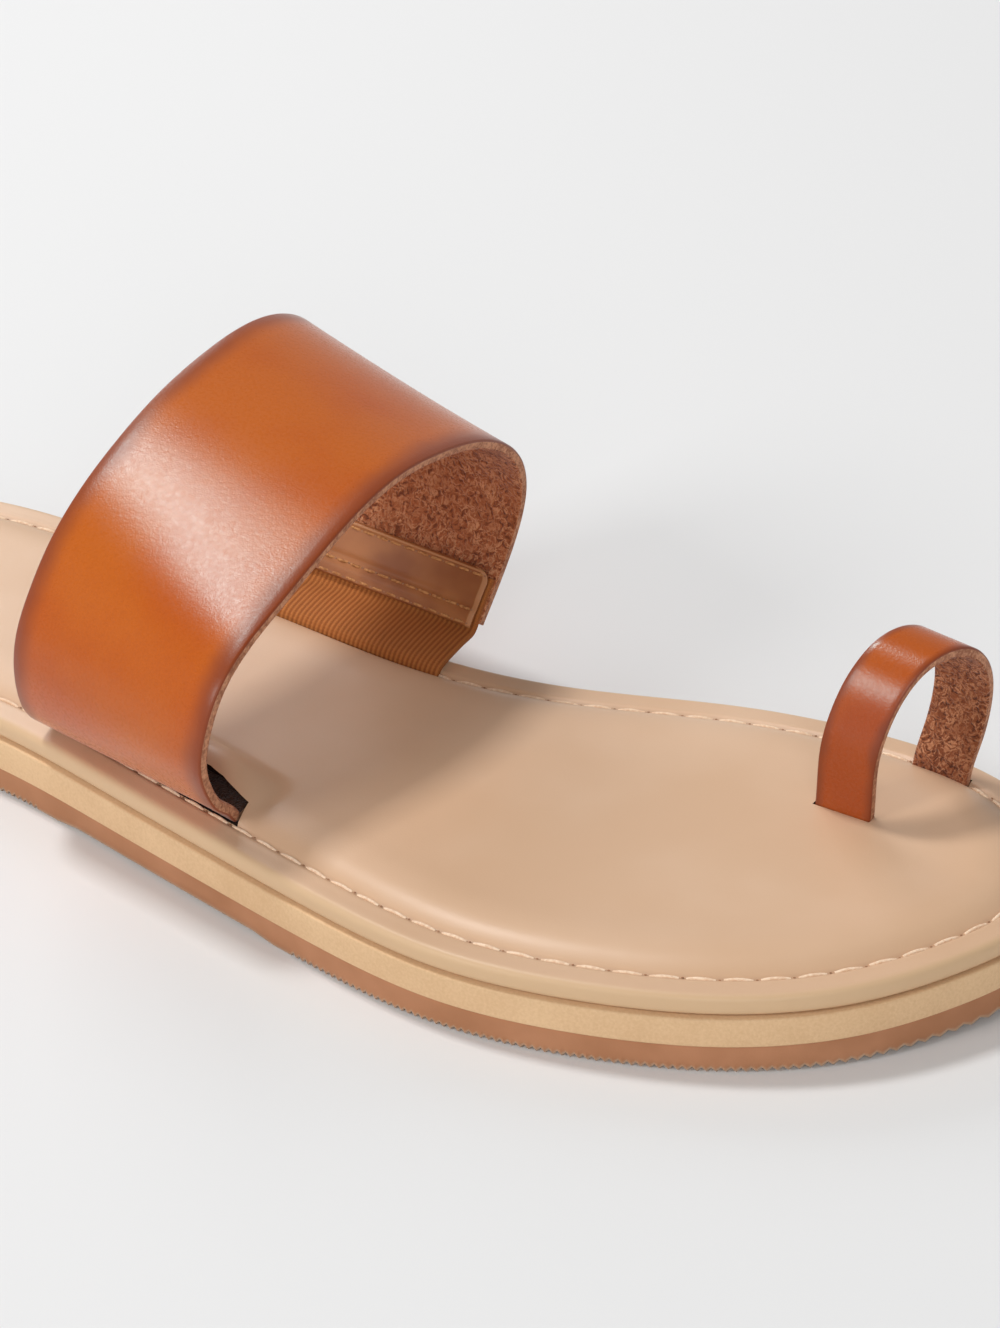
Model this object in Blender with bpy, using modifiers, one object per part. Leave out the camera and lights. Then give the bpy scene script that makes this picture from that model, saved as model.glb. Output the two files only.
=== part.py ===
"""Toe loop sandal, right shoe, empty, standing on its sole.

A flat sole of three layers (rubber outsole, foam midsole, padded footbed)
carries a wide leather strap over the instep and a leather loop for the big toe.
The instep strap folds under on the outer side and tucks below the footbed's pad.
On the inner side it hangs from a short elastic gore, faced with a leather tape.

Metres, +Z up. +X points to the toe, +Y to the inner (medial) side of the foot,
-Y to the outer (lateral) side. Sections are laid out from the heel's end at X 0,
and the finished shoe is then moved so that its box stands centred on the origin.
"""

import bpy
import bmesh
import numpy as np
from mathutils import Vector

# Overall sizes
LENGTH = 0.260
BREADTH = 0.0984

# Thickness of the sole's layers, at the ball of the foot
OUTSOLE_THICKNESS = 0.0054
MIDSOLE_THICKNESS = 0.00495
FOOTBED_EDGE = 0.0035
HEEL_WEDGE = 0.0011
TOE_SPRING = 0.0013
WAIST_CLEARANCE = 0.0006
SEAT_GAP = 0.0003

# Edges of the sole's layers
OUTSOLE_CHAMFER = 0.0005
MIDSOLE_PROUD = 0.0005
MIDSOLE_ROUND = 0.0007
FOOTBED_ROUND = 0.0014

# Footbed pad
STITCH_INSET = 0.0057
VALLEY_DEPTH = 0.0005
RIM_CROWN = 0.00025
PAD_CROWN = 0.0022
PAD_EDGE = 0.0055
LIP_RISE = 0.0052
LIP_INSET = 0.0122
LIP_REACH = 0.0085
LIP_FALL = 0.0088
LIP_RAMP = 0.0123
LIP_BEYOND = 0.0032
VALLEY_WIDTH = 0.0014
POCKET_RATIO = 0.70
POCKET_TAPER = 1.5
POCKET_STATIONS = 12

# Instep strap
STRAP_WIDTH = 0.0458
STRAP_THICKNESS = 0.0020
STRAP_REAR_STATION = 0.0860
STRAP_FRONT_RISE = 0.0489
STRAP_REAR_RISE = 0.0575
STRAP_MOUTH_INSET = 0.0064
STRAP_TAIL = 0.0060

# Elastic gore and its facing tape
GORE_THICKNESS = 0.0010
GORE_INSET = 0.0064
GORE_TUCK = 0.0020
GORE_LAP = 0.0085
TAPE_THICKNESS = 0.0009
TAPE_WIDTH = 0.0112
TAPE_START = -0.0012
GORE_SETBACK = 0.0002
GORE_SLANT = 0.0022
TAPE_SETBACK = 0.0008

# Toe loop
LOOP_WIDTH = 0.0107
LOOP_THICKNESS = 0.0019
LOOP_SPAN = 0.0235
LOOP_SHIFT = 0.0070
LOOP_FRONT_RISE = 0.0310
LOOP_REAR_RISE = 0.0322
LOOP_TUCK = 0.0012

# Lean of the uppers toward the toe, for each unit of height
LEAN_RATIO = 0.10

# Near leg of the toe loop, as shares of LENGTH and of BREADTH
LOOP_STATION_RATIO = 0.8365
LOOP_OFFSET_RATIO = 0.1951

# Finish of the mesh
OUTLINE_HALF = 48
BAND_STATIONS = 6
BAND_STEPS = 56
MERGE_DISTANCE = 0.00001

# Outline of the sole, heel to toe.
# Columns: station as a share of LENGTH, then the inner and the outer edge's
# distance from the axis as shares of BREADTH.
OUTLINE = (
    (0.00, 0.000, 0.000),
    (0.02, 0.168, -0.163),
    (0.05, 0.250, -0.238),
    (0.10, 0.303, -0.287),
    (0.20, 0.324, -0.314),
    (0.30, 0.316, -0.332),
    (0.40, 0.298, -0.381),
    (0.50, 0.284, -0.436),
    (0.60, 0.332, -0.487),
    (0.70, 0.434, -0.511),
    (0.80, 0.490, -0.459),
    (0.88, 0.483, -0.364),
    (0.94, 0.416, -0.233),
    (0.98, 0.304, -0.068),
    (1.00, 0.152, 0.095),
)

# Outer face of the instep strap, from the fold on the outer side over to the end
# on the inner side. Columns: distance across and height above the footbed's rim
# at the front edge, then the same at the rear edge. Across is a share of the
# distance between the two slots, and height is a share of each edge's own rise.
STRAP_SECTIONS = (
    (0.000, 0.004, 0.000, 0.003),
    (-0.027, 0.039, -0.062, 0.028),
    (-0.094, 0.110, -0.144, 0.085),
    (-0.152, 0.204, -0.200, 0.155),
    (-0.191, 0.303, -0.233, 0.235),
    (-0.203, 0.399, -0.250, 0.322),
    (-0.184, 0.511, -0.241, 0.431),
    (-0.130, 0.634, -0.179, 0.553),
    (-0.015, 0.738, -0.070, 0.685),
    (0.141, 0.812, 0.079, 0.793),
    (0.338, 0.898, 0.279, 0.885),
    (0.544, 0.973, 0.511, 0.958),
    (0.758, 1.000, 0.763, 0.997),
    (0.972, 0.967, 1.023, 1.000),
    (1.178, 0.898, 1.259, 0.939),
    (1.341, 0.791, 1.429, 0.821),
    (1.449, 0.654, 1.526, 0.664),
    (1.485, 0.511, 1.546, 0.496),
    (1.462, 0.364, 1.507, 0.334),
    (1.394, 0.204, 1.422, 0.183),
    (1.298, 0.033, 1.309, 0.045),
)

# Gore between its slot and the strap. Columns: distance beyond the sole's edge
# and height above the rim, both as shares of GORE_INSET.
GORE_DRAPE = (
    (-0.940, 0.03),
    (-0.830, 0.10),
    (-0.600, 0.14),
    (-0.210, 0.16),
    (0.220, 0.17),
    (0.680, 0.18),
)

# Outer face of the toe loop, from the near leg over to the far leg.
# Columns: distance across as a share of LOOP_SPAN, height as a share of the rise.
LOOP_SECTION = (
    (0.000, 0.050),
    (-0.020, 0.260),
    (-0.028, 0.450),
    (0.030, 0.660),
    (0.175, 0.865),
    (0.410, 0.992),
    (0.640, 1.000),
    (0.825, 0.942),
    (0.975, 0.826),
    (1.068, 0.660),
    (1.090, 0.450),
    (1.055, 0.258),
    (0.995, 0.050),
)

# Colour, roughness and metallic value of each material
FINISHES = {
    "rubber": ((0.36, 0.17, 0.09, 1.0), 0.62, 0.0),
    "foam": ((0.66, 0.44, 0.26, 1.0), 0.80, 0.0),
    "insole": ((0.68, 0.46, 0.32, 1.0), 0.48, 0.0),
    "strap_leather": ((0.55, 0.17, 0.03, 1.0), 0.42, 0.0),
    "elastic": ((0.30, 0.11, 0.03, 1.0), 0.85, 0.0),
    "tape_leather": ((0.24, 0.10, 0.04, 1.0), 0.55, 0.0),
}


def clear_scene():
    """Remove every object that the scene starts with."""
    for item in list(bpy.data.objects):
        bpy.data.objects.remove(item, do_unlink=True)


def new_collection(name):
    """Return a new collection linked to the scene."""
    collection = bpy.data.collections.new(name)
    bpy.context.scene.collection.children.link(collection)
    return collection


def new_material(name):
    """Return the Principled material of that name in FINISHES."""
    colour, roughness, metallic = FINISHES[name]
    material = bpy.data.materials.new(name)
    material.use_nodes = True
    shader = material.node_tree.nodes["Principled BSDF"]
    shader.inputs["Base Color"].default_value = colour
    shader.inputs["Roughness"].default_value = roughness
    shader.inputs["Metallic"].default_value = metallic
    material.diffuse_color = colour
    return material


def spline_slopes(knots, values, periodic):
    """Return the slopes of the cubic spline through values at knots."""
    count = len(knots)
    matrix = np.zeros((count, count))
    right = np.zeros((count, values.shape[1]))
    step = np.diff(knots)
    rise = np.diff(values, axis=0) / step[:, None]
    for i in range(1, count - 1):
        matrix[i, i - 1] = step[i]
        matrix[i, i] = 2.0 * (step[i - 1] + step[i])
        matrix[i, i + 1] = step[i - 1]
        right[i] = 3.0 * (step[i] * rise[i - 1] + step[i - 1] * rise[i])
    if periodic:
        matrix[0, 0] = 2.0 * (step[-1] + step[0])
        matrix[0, 1] = step[-1]
        matrix[0, count - 2] = step[0]
        right[0] = 3.0 * (step[0] * rise[-1] + step[-1] * rise[0])
        matrix[-1, 0] = 1.0
        matrix[-1, -1] = -1.0
    else:
        matrix[0, 0] = 2.0
        matrix[0, 1] = 1.0
        right[0] = 3.0 * rise[0]
        matrix[-1, -1] = 2.0
        matrix[-1, -2] = 1.0
        right[-1] = 3.0 * rise[-1]
    return np.linalg.solve(matrix, right)


def smooth_curve(points, count, periodic=False):
    """Return count points along a cubic spline, spaced evenly by length."""
    points = np.asarray(points, float)
    spans = np.linalg.norm(np.diff(points, axis=0), axis=1)
    knots = np.concatenate(([0.0], np.cumsum(spans)))
    slopes = spline_slopes(knots, points, periodic)

    def at(places):
        i = np.clip(np.searchsorted(knots, places, side="right") - 1, 0, len(knots) - 2)
        step = (knots[i + 1] - knots[i])[:, None]
        t = ((places - knots[i])[:, None]) / step
        start = points[i] * (2 * t**3 - 3 * t**2 + 1) + points[i + 1] * (3 * t**2 - 2 * t**3)
        ends = slopes[i] * (t**3 - 2 * t**2 + t) + slopes[i + 1] * (t**3 - t**2)
        return start + ends * step

    fine = np.linspace(0.0, knots[-1], 40 * len(points))
    trace = at(fine)
    travelled = np.concatenate(([0.0], np.cumsum(np.linalg.norm(np.diff(trace, axis=0), axis=1))))
    wanted = np.linspace(0.0, travelled[-1], count)
    return at(np.interp(wanted, travelled, fine))


def sole_outline():
    """Return the sole's outline and its outward normals, from heel round to heel."""
    table = np.array(OUTLINE)
    outer = np.column_stack((table[:, 0] * LENGTH, table[:, 2] * BREADTH))
    inner = np.column_stack((table[:, 0] * LENGTH, table[:, 1] * BREADTH))
    loop = np.concatenate((outer, inner[::-1]))
    points = smooth_curve(loop, 2 * OUTLINE_HALF + 1, periodic=True)[:-1]
    along = np.roll(points, -1, axis=0) - np.roll(points, 1, axis=0)
    along /= np.linalg.norm(along, axis=1)[:, None]
    normals = np.column_stack((along[:, 1], -along[:, 0]))
    return points, normals


OUTLINE_POINTS, OUTLINE_NORMALS = sole_outline()


def inset_ring(inset):
    """Return the outline moved inward by inset."""
    return OUTLINE_POINTS - OUTLINE_NORMALS * inset


def edge_at(station, side):
    """Return the sole's edge at a station: side +1 is the inner edge, -1 the outer."""
    table = np.array(OUTLINE)
    column = 1 if side > 0 else 2
    edge = np.column_stack((table[1:, 0] * LENGTH, table[1:, column] * BREADTH))
    trace = smooth_curve(edge, 200)
    return np.interp(station, trace[:, 0], trace[:, 1])


def toe_lift(station):
    """Return the height that the toe spring adds at a station."""
    start = 0.85 * LENGTH
    share = np.clip((station - start) / (LENGTH - start), 0.0, 1.0)
    return TOE_SPRING * share**2


def ground_lift(station):
    """Return the height of the outsole's underside, which is raised at the waist."""
    start = 0.35 * LENGTH
    end = 0.56 * LENGTH
    ramp = 0.02 * LENGTH
    share = np.clip(min(station - start, end - station) / ramp, 0.0, 1.0)
    return toe_lift(station) + WAIST_CLEARANCE * share


def heel_wedge(station):
    """Return the thickness that the midsole gains toward the heel."""
    ball = 0.69 * LENGTH
    return HEEL_WEDGE * np.clip((ball - station) / ball, 0.0, 1.0)


def midsole_base(station):
    return toe_lift(station) + OUTSOLE_THICKNESS + SEAT_GAP


def footbed_base(station):
    return midsole_base(station) + MIDSOLE_THICKNESS + heel_wedge(station) + SEAT_GAP


def rim_height(station):
    """Return the height of the footbed's rim, which the uppers are measured from."""
    return footbed_base(station) + FOOTBED_EDGE


def mesh_object(name, bm, material, collection):
    """Turn a bmesh into a smooth shaded object in a collection."""
    bmesh.ops.remove_doubles(bm, verts=bm.verts, dist=MERGE_DISTANCE)
    bmesh.ops.recalc_face_normals(bm, faces=bm.faces)
    mesh = bpy.data.meshes.new(name)
    bm.to_mesh(mesh)
    bm.free()
    mesh.shade_smooth()
    mesh.set_sharp_from_angle(angle=0.6)
    item = bpy.data.objects.new(name, mesh)
    if material is not None:
        mesh.materials.append(material)
    collection.objects.link(item)
    return item


def loft_layer(name, rings, material, collection):
    """Build a closed layer from rings of equal count, the first at the bottom.

    Each end is closed by quads across the sole, from its outer to its inner edge.
    """
    bm = bmesh.new()
    loops = [[bm.verts.new(point) for point in ring] for ring in rings]
    count = len(loops[0])
    for low, high in zip(loops, loops[1:]):
        for i in range(count):
            j = (i + 1) % count
            bm.faces.new((low[i], low[j], high[j], high[i]))
    for loop in (loops[0], loops[-1]):
        for i in range(1, count // 2):
            quad = (loop[i], loop[(i + 1) % count], loop[count - i - 1], loop[count - i])
            bm.faces.new(tuple(dict.fromkeys(quad)))
        bm.faces.new((loop[0], loop[1], loop[count - 1]))
    return mesh_object(name, bm, material, collection)


def layer_ring(inset, base, height):
    """Return one ring of a layer: height counts from base(station)."""
    ring = inset_ring(inset)
    return [(x, y, base(x) + height) for x, y in ring]


def build_outsole(material, collection):
    """Build the rubber outsole, chamfered where it meets the ground."""
    rings = [
        layer_ring(OUTSOLE_CHAMFER, ground_lift, 0.0),
        layer_ring(0.0, ground_lift, OUTSOLE_CHAMFER),
        layer_ring(0.0, toe_lift, OUTSOLE_THICKNESS - 0.5 * OUTSOLE_CHAMFER),
        layer_ring(0.5 * OUTSOLE_CHAMFER, toe_lift, OUTSOLE_THICKNESS),
    ]
    return loft_layer("outsole", rings, material, collection)


def build_midsole(material, collection):
    """Build the foam midsole, a little proud of the outsole and thicker at the heel."""

    def top(station):
        return midsole_base(station) + MIDSOLE_THICKNESS + heel_wedge(station)

    rings = [
        layer_ring(0.0, midsole_base, 0.0),
        layer_ring(-MIDSOLE_PROUD, midsole_base, MIDSOLE_ROUND),
        layer_ring(-MIDSOLE_PROUD, top, -MIDSOLE_ROUND),
        layer_ring(MIDSOLE_ROUND - MIDSOLE_PROUD, top, 0.0),
    ]
    return loft_layer("midsole", rings, material, collection)


def bell(distance, reach):
    """Return a smooth hump of height 1 that ends at reach."""
    share = np.clip(np.abs(distance) / reach, 0.0, 1.0)
    return (1.0 - share**2) ** 2


def strap_station(share):
    """Return the station of the strap's base: share 0 is its rear edge, 1 its front."""
    return STRAP_REAR_STATION + share * STRAP_WIDTH


def lip_share(station):
    """Return how far the pad is lifted over the strap's tail, from 0 to 1."""
    rear = strap_station(0.0) - LIP_BEYOND
    front = strap_station(1.0) + LIP_BEYOND
    share = np.clip(min(station - rear, front - station) / LIP_RAMP, 0.0, 1.0)
    return np.sin(0.5 * np.pi * share)


def pad_ring(inset, height):
    """Return one ring of the pad's top, lifted over the instep strap's tail."""
    over = LIP_RISE * bell(inset - LIP_INSET, LIP_REACH if inset < LIP_INSET else LIP_FALL)
    ring = []
    for x, y in inset_ring(inset):
        lip = over * lip_share(x) if y < 0.0 else 0.0
        ring.append((x, y, rim_height(x) + height + lip))
    return ring


def build_footbed(material, collection):
    """Build the padded footbed: wrapped edge, flat rim, stitch valley and pad."""
    pad_start = STITCH_INSET + VALLEY_DEPTH
    rings = [
        layer_ring(FOOTBED_ROUND, footbed_base, 0.0),
        layer_ring(0.25 * FOOTBED_ROUND, footbed_base, 0.35 * FOOTBED_ROUND),
        layer_ring(0.0, footbed_base, FOOTBED_ROUND),
        layer_ring(0.0, rim_height, -0.6 * FOOTBED_ROUND),
        layer_ring(0.4 * FOOTBED_ROUND, rim_height, 0.0),
        layer_ring(FOOTBED_ROUND, rim_height, RIM_CROWN),
        layer_ring(STITCH_INSET - VALLEY_WIDTH, rim_height, RIM_CROWN),
        layer_ring(STITCH_INSET, rim_height, RIM_CROWN - VALLEY_DEPTH),
        pad_ring(pad_start + 0.2 * PAD_EDGE, 0.30 * PAD_CROWN),
        pad_ring(pad_start + 0.5 * PAD_EDGE, 0.62 * PAD_CROWN),
        pad_ring(pad_start + PAD_EDGE, 0.85 * PAD_CROWN),
        pad_ring(pad_start + 1.4 * PAD_EDGE, 0.95 * PAD_CROWN),
        pad_ring(pad_start + 1.9 * PAD_EDGE, PAD_CROWN),
        pad_ring(pad_start + 2.3 * PAD_EDGE, PAD_CROWN),
        pad_ring(pad_start + 2.7 * PAD_EDGE, PAD_CROWN),
    ]
    return loft_layer("footbed", rings, material, collection)


def line_inside(station, side, inset):
    """Return where a line that runs inset from the sole's edge crosses a station."""
    step = 0.004 * LENGTH
    slope = (edge_at(station + step, side) - edge_at(station - step, side)) / (2 * step)
    return edge_at(station, side) - side * inset * np.hypot(1.0, slope)


def edge_slot(name, side, inset, across_range, ends, floor, ceilings, collection):
    """Build the cutter of a straight slot along the sole's edge.

    The across range counts inward from the line that runs inset from the edge.
    The floor and the ceilings, which are spaced evenly from end to end, count up
    from the rim.
    """
    bm = bmesh.new()
    lines = [line_inside(station, side, inset) for station in ends]
    sections = []
    for share, ceiling in zip(np.linspace(0.0, 1.0, len(ceilings)), ceilings):
        station = ends[0] + share * (ends[1] - ends[0])
        line = lines[0] + share * (lines[1] - lines[0])
        section = []
        for across, height in (
            (across_range[0], floor),
            (across_range[1], floor),
            (across_range[1], ceiling),
            (across_range[0], ceiling),
        ):
            point = (station, line - side * across, rim_height(station) + height)
            section.append(bm.verts.new(point))
        sections.append(section)
    for first, second in zip(sections, sections[1:]):
        for i in range(4):
            j = (i + 1) % 4
            bm.faces.new((first[i], first[j], second[j], second[i]))
    bm.faces.new(sections[0])
    bm.faces.new(sections[-1])
    cutter = mesh_object(name, bm, None, collection)
    cutter.hide_render = True
    cutter.display_type = "WIRE"
    return cutter


def box_slot(name, centre, size, collection):
    """Build a box cutter with its centre and full size."""
    bm = bmesh.new()
    bmesh.ops.create_cube(bm, size=1.0)
    bmesh.ops.scale(bm, vec=Vector(size), verts=bm.verts)
    bmesh.ops.translate(bm, vec=Vector(centre), verts=bm.verts)
    cutter = mesh_object(name, bm, None, collection)
    cutter.hide_render = True
    cutter.display_type = "WIRE"
    return cutter


def pocket_ceiling(station):
    """Return the height of the strap's pocket above the rim, higher under the lip."""
    room = STRAP_THICKNESS + SEAT_GAP
    return room + POCKET_RATIO * LIP_RISE * lip_share(station) ** POCKET_TAPER


def cut_slots(footbed, collection):
    """Cut the strap's pocket, the gore's slot and the toe loop's two slots."""
    rear = strap_station(0.0)
    front = strap_station(1.0)
    pocket_ends = (rear - SEAT_GAP, front + 2 * SEAT_GAP)
    stations = np.linspace(*pocket_ends, POCKET_STATIONS)
    ceilings = [pocket_ceiling(station) for station in stations]
    half_gore = 0.5 * GORE_THICKNESS + SEAT_GAP
    cutters = [
        edge_slot(
            "strap_pocket",
            -1,
            STRAP_MOUTH_INSET,
            (STITCH_INSET - STRAP_MOUTH_INSET, STRAP_TAIL + SEAT_GAP),
            pocket_ends,
            -SEAT_GAP,
            ceilings,
            collection,
        ),
        edge_slot(
            "gore_slot",
            1,
            GORE_INSET,
            (-half_gore - SEAT_GAP, half_gore),
            (rear + GORE_SLANT - SEAT_GAP, front + GORE_SLANT + 2 * SEAT_GAP),
            -GORE_TUCK - SEAT_GAP,
            (2 * PAD_CROWN, 2 * PAD_CROWN),
            collection,
        ),
    ]
    deep = LOOP_TUCK + SEAT_GAP
    high = 3.0 * PAD_CROWN
    for label, leg in (("near", 0.0), ("far", 1.0)):
        station = LOOP_STATION_RATIO * LENGTH + leg * LOOP_SHIFT
        inward = 0.5 * LOOP_THICKNESS * (1.0 - 2.0 * leg)
        centre = (
            station,
            LOOP_OFFSET_RATIO * BREADTH + leg * LOOP_SPAN + inward,
            rim_height(station) + 0.5 * (high - deep),
        )
        size = (LOOP_WIDTH + 4 * SEAT_GAP, LOOP_THICKNESS + 4 * SEAT_GAP, high + deep)
        cutters.append(box_slot("loop_slot_" + label, centre, size, collection))
    for cutter in cutters:
        cut = footbed.modifiers.new(cutter.name, "BOOLEAN")
        cut.operation = "DIFFERENCE"
        cut.solver = "EXACT"
        cut.object = cutter


def band(name, rear, front, thickness, material, collection):
    """Build a bent strip between its rear and its front edge.

    The edges are curves of equal count on the strip's outer face, from the outer
    side of the foot to the inner side. The strip's thickness lies on the foot's side.
    """
    bm = bmesh.new()
    columns = []
    for share in np.linspace(0.0, 1.0, BAND_STATIONS):
        edge = rear * (1.0 - share) + front * share
        columns.append([bm.verts.new(point) for point in edge])
    for left, right in zip(columns, columns[1:]):
        for i in range(len(left) - 1):
            bm.faces.new((left[i], right[i], right[i + 1], left[i + 1]))
    mesh = bpy.data.meshes.new(name)
    bm.to_mesh(mesh)
    bm.free()
    mesh.materials.append(material)
    mesh.shade_smooth()
    item = bpy.data.objects.new(name, mesh)
    collection.objects.link(item)
    solid = item.modifiers.new("thickness", "SOLIDIFY")
    solid.thickness = thickness
    solid.offset = -1.0
    solid.use_even_offset = True
    return item


def stand_up(section, station, lean):
    """Place a section of (across, height) rows at a station, leaning to the toe."""
    base = rim_height(station)
    return np.array([(station + lean * height, across, base + height) for across, height in section])


def strap_section(share):
    """Return the strap's outer face as (across, height) rows: share 0 rear, 1 front."""
    station = strap_station(share)
    table = np.array(STRAP_SECTIONS)
    across, height = table[:, (0, 1)].T if share > 0.5 else table[:, (2, 3)].T
    rise = STRAP_FRONT_RISE if share > 0.5 else STRAP_REAR_RISE
    outer_slot = line_inside(station, -1, STRAP_MOUTH_INSET)
    inner_slot = line_inside(station, 1, GORE_INSET)
    rows = np.column_stack((outer_slot + across * (inner_slot - outer_slot), height * rise))
    tail = [(outer_slot + part * STRAP_TAIL, rows[0, 1]) for part in (1.0, 0.5)]
    return smooth_curve(np.concatenate((tail, rows)), BAND_STEPS)


def inside_strap(section, from_end, inward):
    """Return a point at from_end before the strap's inner end, moved to the foot.

    A negative from_end lies beyond the strap's end, on the line that it runs out on.
    """
    back = section[::-1]
    spans = np.linalg.norm(np.diff(back, axis=0), axis=1)
    travelled = np.concatenate(([0.0], np.cumsum(spans)))
    beyond = 2 * back[0] - back[1]
    back = np.concatenate(([beyond], back))
    travelled = np.concatenate(([-spans[0]], travelled))
    point = np.array([np.interp(from_end, travelled, back[:, axis]) for axis in (0, 1)])
    step = 0.5 * STRAP_THICKNESS
    ahead = np.array([np.interp(from_end + step, travelled, back[:, axis]) for axis in (0, 1)])
    along = (ahead - point) / np.linalg.norm(ahead - point)
    return point + inward * np.array((-along[1], along[0]))


def gore_section(share):
    """Return the gore's outer face, from its end inside the strap down to its slot."""
    station = strap_station(share) + GORE_SLANT
    edge = edge_at(station, 1)
    half = 0.5 * GORE_THICKNESS
    slot = line_inside(station, 1, GORE_INSET)
    rows = [(slot + half, -GORE_TUCK), (slot + half, -0.5 * GORE_TUCK)]
    rows += [(edge + out * GORE_INSET + half, up * GORE_INSET) for out, up in GORE_DRAPE]
    strap = strap_section(share)
    inward = STRAP_THICKNESS + SEAT_GAP
    start = TAPE_START - 0.5 * TAPE_THICKNESS
    for part in (0.0, 0.25, 0.5, 0.75, 1.0):
        rows.append(inside_strap(strap, start + part * (GORE_LAP - start), inward))
    return smooth_curve(rows, BAND_STEPS // 2)[::-1]


def tape_section(share):
    """Return the facing tape's outer face, which lies on the gore's inner face."""
    strap = strap_section(share)
    inward = STRAP_THICKNESS + GORE_THICKNESS + 2 * SEAT_GAP
    rows = [
        inside_strap(strap, TAPE_START + part * TAPE_WIDTH, inward)
        for part in (1.0, 0.75, 0.5, 0.25, 0.0)
    ]
    return smooth_curve(rows, 8)


def build_instep_strap(material, collection):
    rear = stand_up(strap_section(0.0), strap_station(0.0), LEAN_RATIO)
    front = stand_up(strap_section(1.0), strap_station(1.0), LEAN_RATIO)
    return band("instep_strap", rear, front, STRAP_THICKNESS, material, collection)


def build_strap_trim(name, section_of, setback, slant, thickness, material, collection):
    """Build a strip that follows the strap, set back from its two edges.

    Its lower end lies nearer the toe by the slant.
    """
    rear = stand_up(section_of(0.0), strap_station(0.0) + setback, LEAN_RATIO)
    front = stand_up(section_of(1.0), strap_station(1.0) - setback, LEAN_RATIO)
    drift = slant * np.linspace(0.0, 1.0, len(rear)) ** 2
    rear[:, 0] += drift
    front[:, 0] += drift
    return band(name, rear, front, thickness, material, collection)


def loop_edge(end):
    """Return one edge of the toe loop: end -1 is its rear edge, +1 its front."""
    rise = LOOP_FRONT_RISE if end > 0 else LOOP_REAR_RISE
    rows = np.array(LOOP_SECTION) * (LOOP_SPAN, rise)
    foot = [(rows[0, 0], -LOOP_TUCK)]
    last = [(rows[-1, 0], -LOOP_TUCK)]
    rows = smooth_curve(np.concatenate((foot, rows, last)), BAND_STEPS)
    edge = []
    for across, height in rows:
        station = LOOP_STATION_RATIO * LENGTH + across / LOOP_SPAN * LOOP_SHIFT
        lean = LEAN_RATIO * max(height, 0.0)
        edge.append(
            (
                station + 0.5 * end * LOOP_WIDTH + lean,
                LOOP_OFFSET_RATIO * BREADTH + across,
                rim_height(LOOP_STATION_RATIO * LENGTH) + height,
            )
        )
    return np.array(edge)


def build_toe_loop(material, collection):
    return band("toe_loop", loop_edge(-1), loop_edge(1), LOOP_THICKNESS, material, collection)


def centre_on_origin(items):
    """Move the shoe so that its box stands centred on the origin."""
    bpy.context.view_layer.update()
    graph = bpy.context.evaluated_depsgraph_get()
    corners = []
    for item in items:
        shape = item.evaluated_get(graph)
        mesh = shape.to_mesh()
        corners += [tuple(item.matrix_world @ vertex.co) for vertex in mesh.vertices]
        shape.to_mesh_clear()
    corners = np.array(corners)
    low = corners.min(axis=0)
    high = corners.max(axis=0)
    shift = Vector((-0.5 * (low[0] + high[0]), -0.5 * (low[1] + high[1]), -low[2]))
    for item in bpy.data.objects:
        item.location += shift
    bpy.context.view_layer.update()


def build_sandal():
    clear_scene()
    sandal = new_collection("toe_loop_sandal")
    cutters = new_collection("cutters")
    leather = new_material("strap_leather")
    footbed = build_footbed(new_material("insole"), sandal)
    cut_slots(footbed, cutters)
    elastic = new_material("elastic")
    tape = new_material("tape_leather")
    pieces = [
        build_outsole(new_material("rubber"), sandal),
        build_midsole(new_material("foam"), sandal),
        footbed,
        build_instep_strap(leather, sandal),
        build_strap_trim(
            "elastic_gore", gore_section, GORE_SETBACK, GORE_SLANT, GORE_THICKNESS, elastic, sandal
        ),
        build_strap_trim("gore_tape", tape_section, TAPE_SETBACK, 0.0, TAPE_THICKNESS, tape, sandal),
        build_toe_loop(leather, sandal),
    ]
    centre_on_origin(pieces)


build_sandal()
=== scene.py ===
"""Looks of a toe loop sandal, right shoe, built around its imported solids.

The shoe has a toothed rubber outsole, a foam midsole, a padded and stitched
footbed, a wide leather strap on an elastic gore, and a leather loop for the toe.
Sections are laid out from the heel's end at X 0, as in the part's source, and each
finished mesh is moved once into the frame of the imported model. Metres, +Z up.
"""

import logging
import math
from dataclasses import dataclass
from enum import Enum
from typing import Any, Callable, Dict, List, Optional, Sequence, Tuple, Union

import bpy
import bmesh
import numpy as np
from mathutils import Matrix, Vector


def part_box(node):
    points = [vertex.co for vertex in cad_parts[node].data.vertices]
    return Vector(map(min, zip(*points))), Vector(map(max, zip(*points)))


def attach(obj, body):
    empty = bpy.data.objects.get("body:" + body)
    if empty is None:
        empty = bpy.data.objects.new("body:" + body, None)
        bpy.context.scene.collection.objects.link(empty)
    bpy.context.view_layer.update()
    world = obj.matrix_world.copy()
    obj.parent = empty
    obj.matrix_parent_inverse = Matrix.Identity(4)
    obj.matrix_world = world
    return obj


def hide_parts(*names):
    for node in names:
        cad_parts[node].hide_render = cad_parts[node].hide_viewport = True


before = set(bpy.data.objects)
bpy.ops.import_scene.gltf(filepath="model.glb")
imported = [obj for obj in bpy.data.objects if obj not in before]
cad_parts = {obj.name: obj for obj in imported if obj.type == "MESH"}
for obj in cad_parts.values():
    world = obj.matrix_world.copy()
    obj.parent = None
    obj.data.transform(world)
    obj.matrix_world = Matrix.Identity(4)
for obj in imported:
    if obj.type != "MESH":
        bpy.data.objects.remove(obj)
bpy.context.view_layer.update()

Colour = Tuple[float, float, float]
Rows = Sequence[Sequence[float]]

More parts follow.
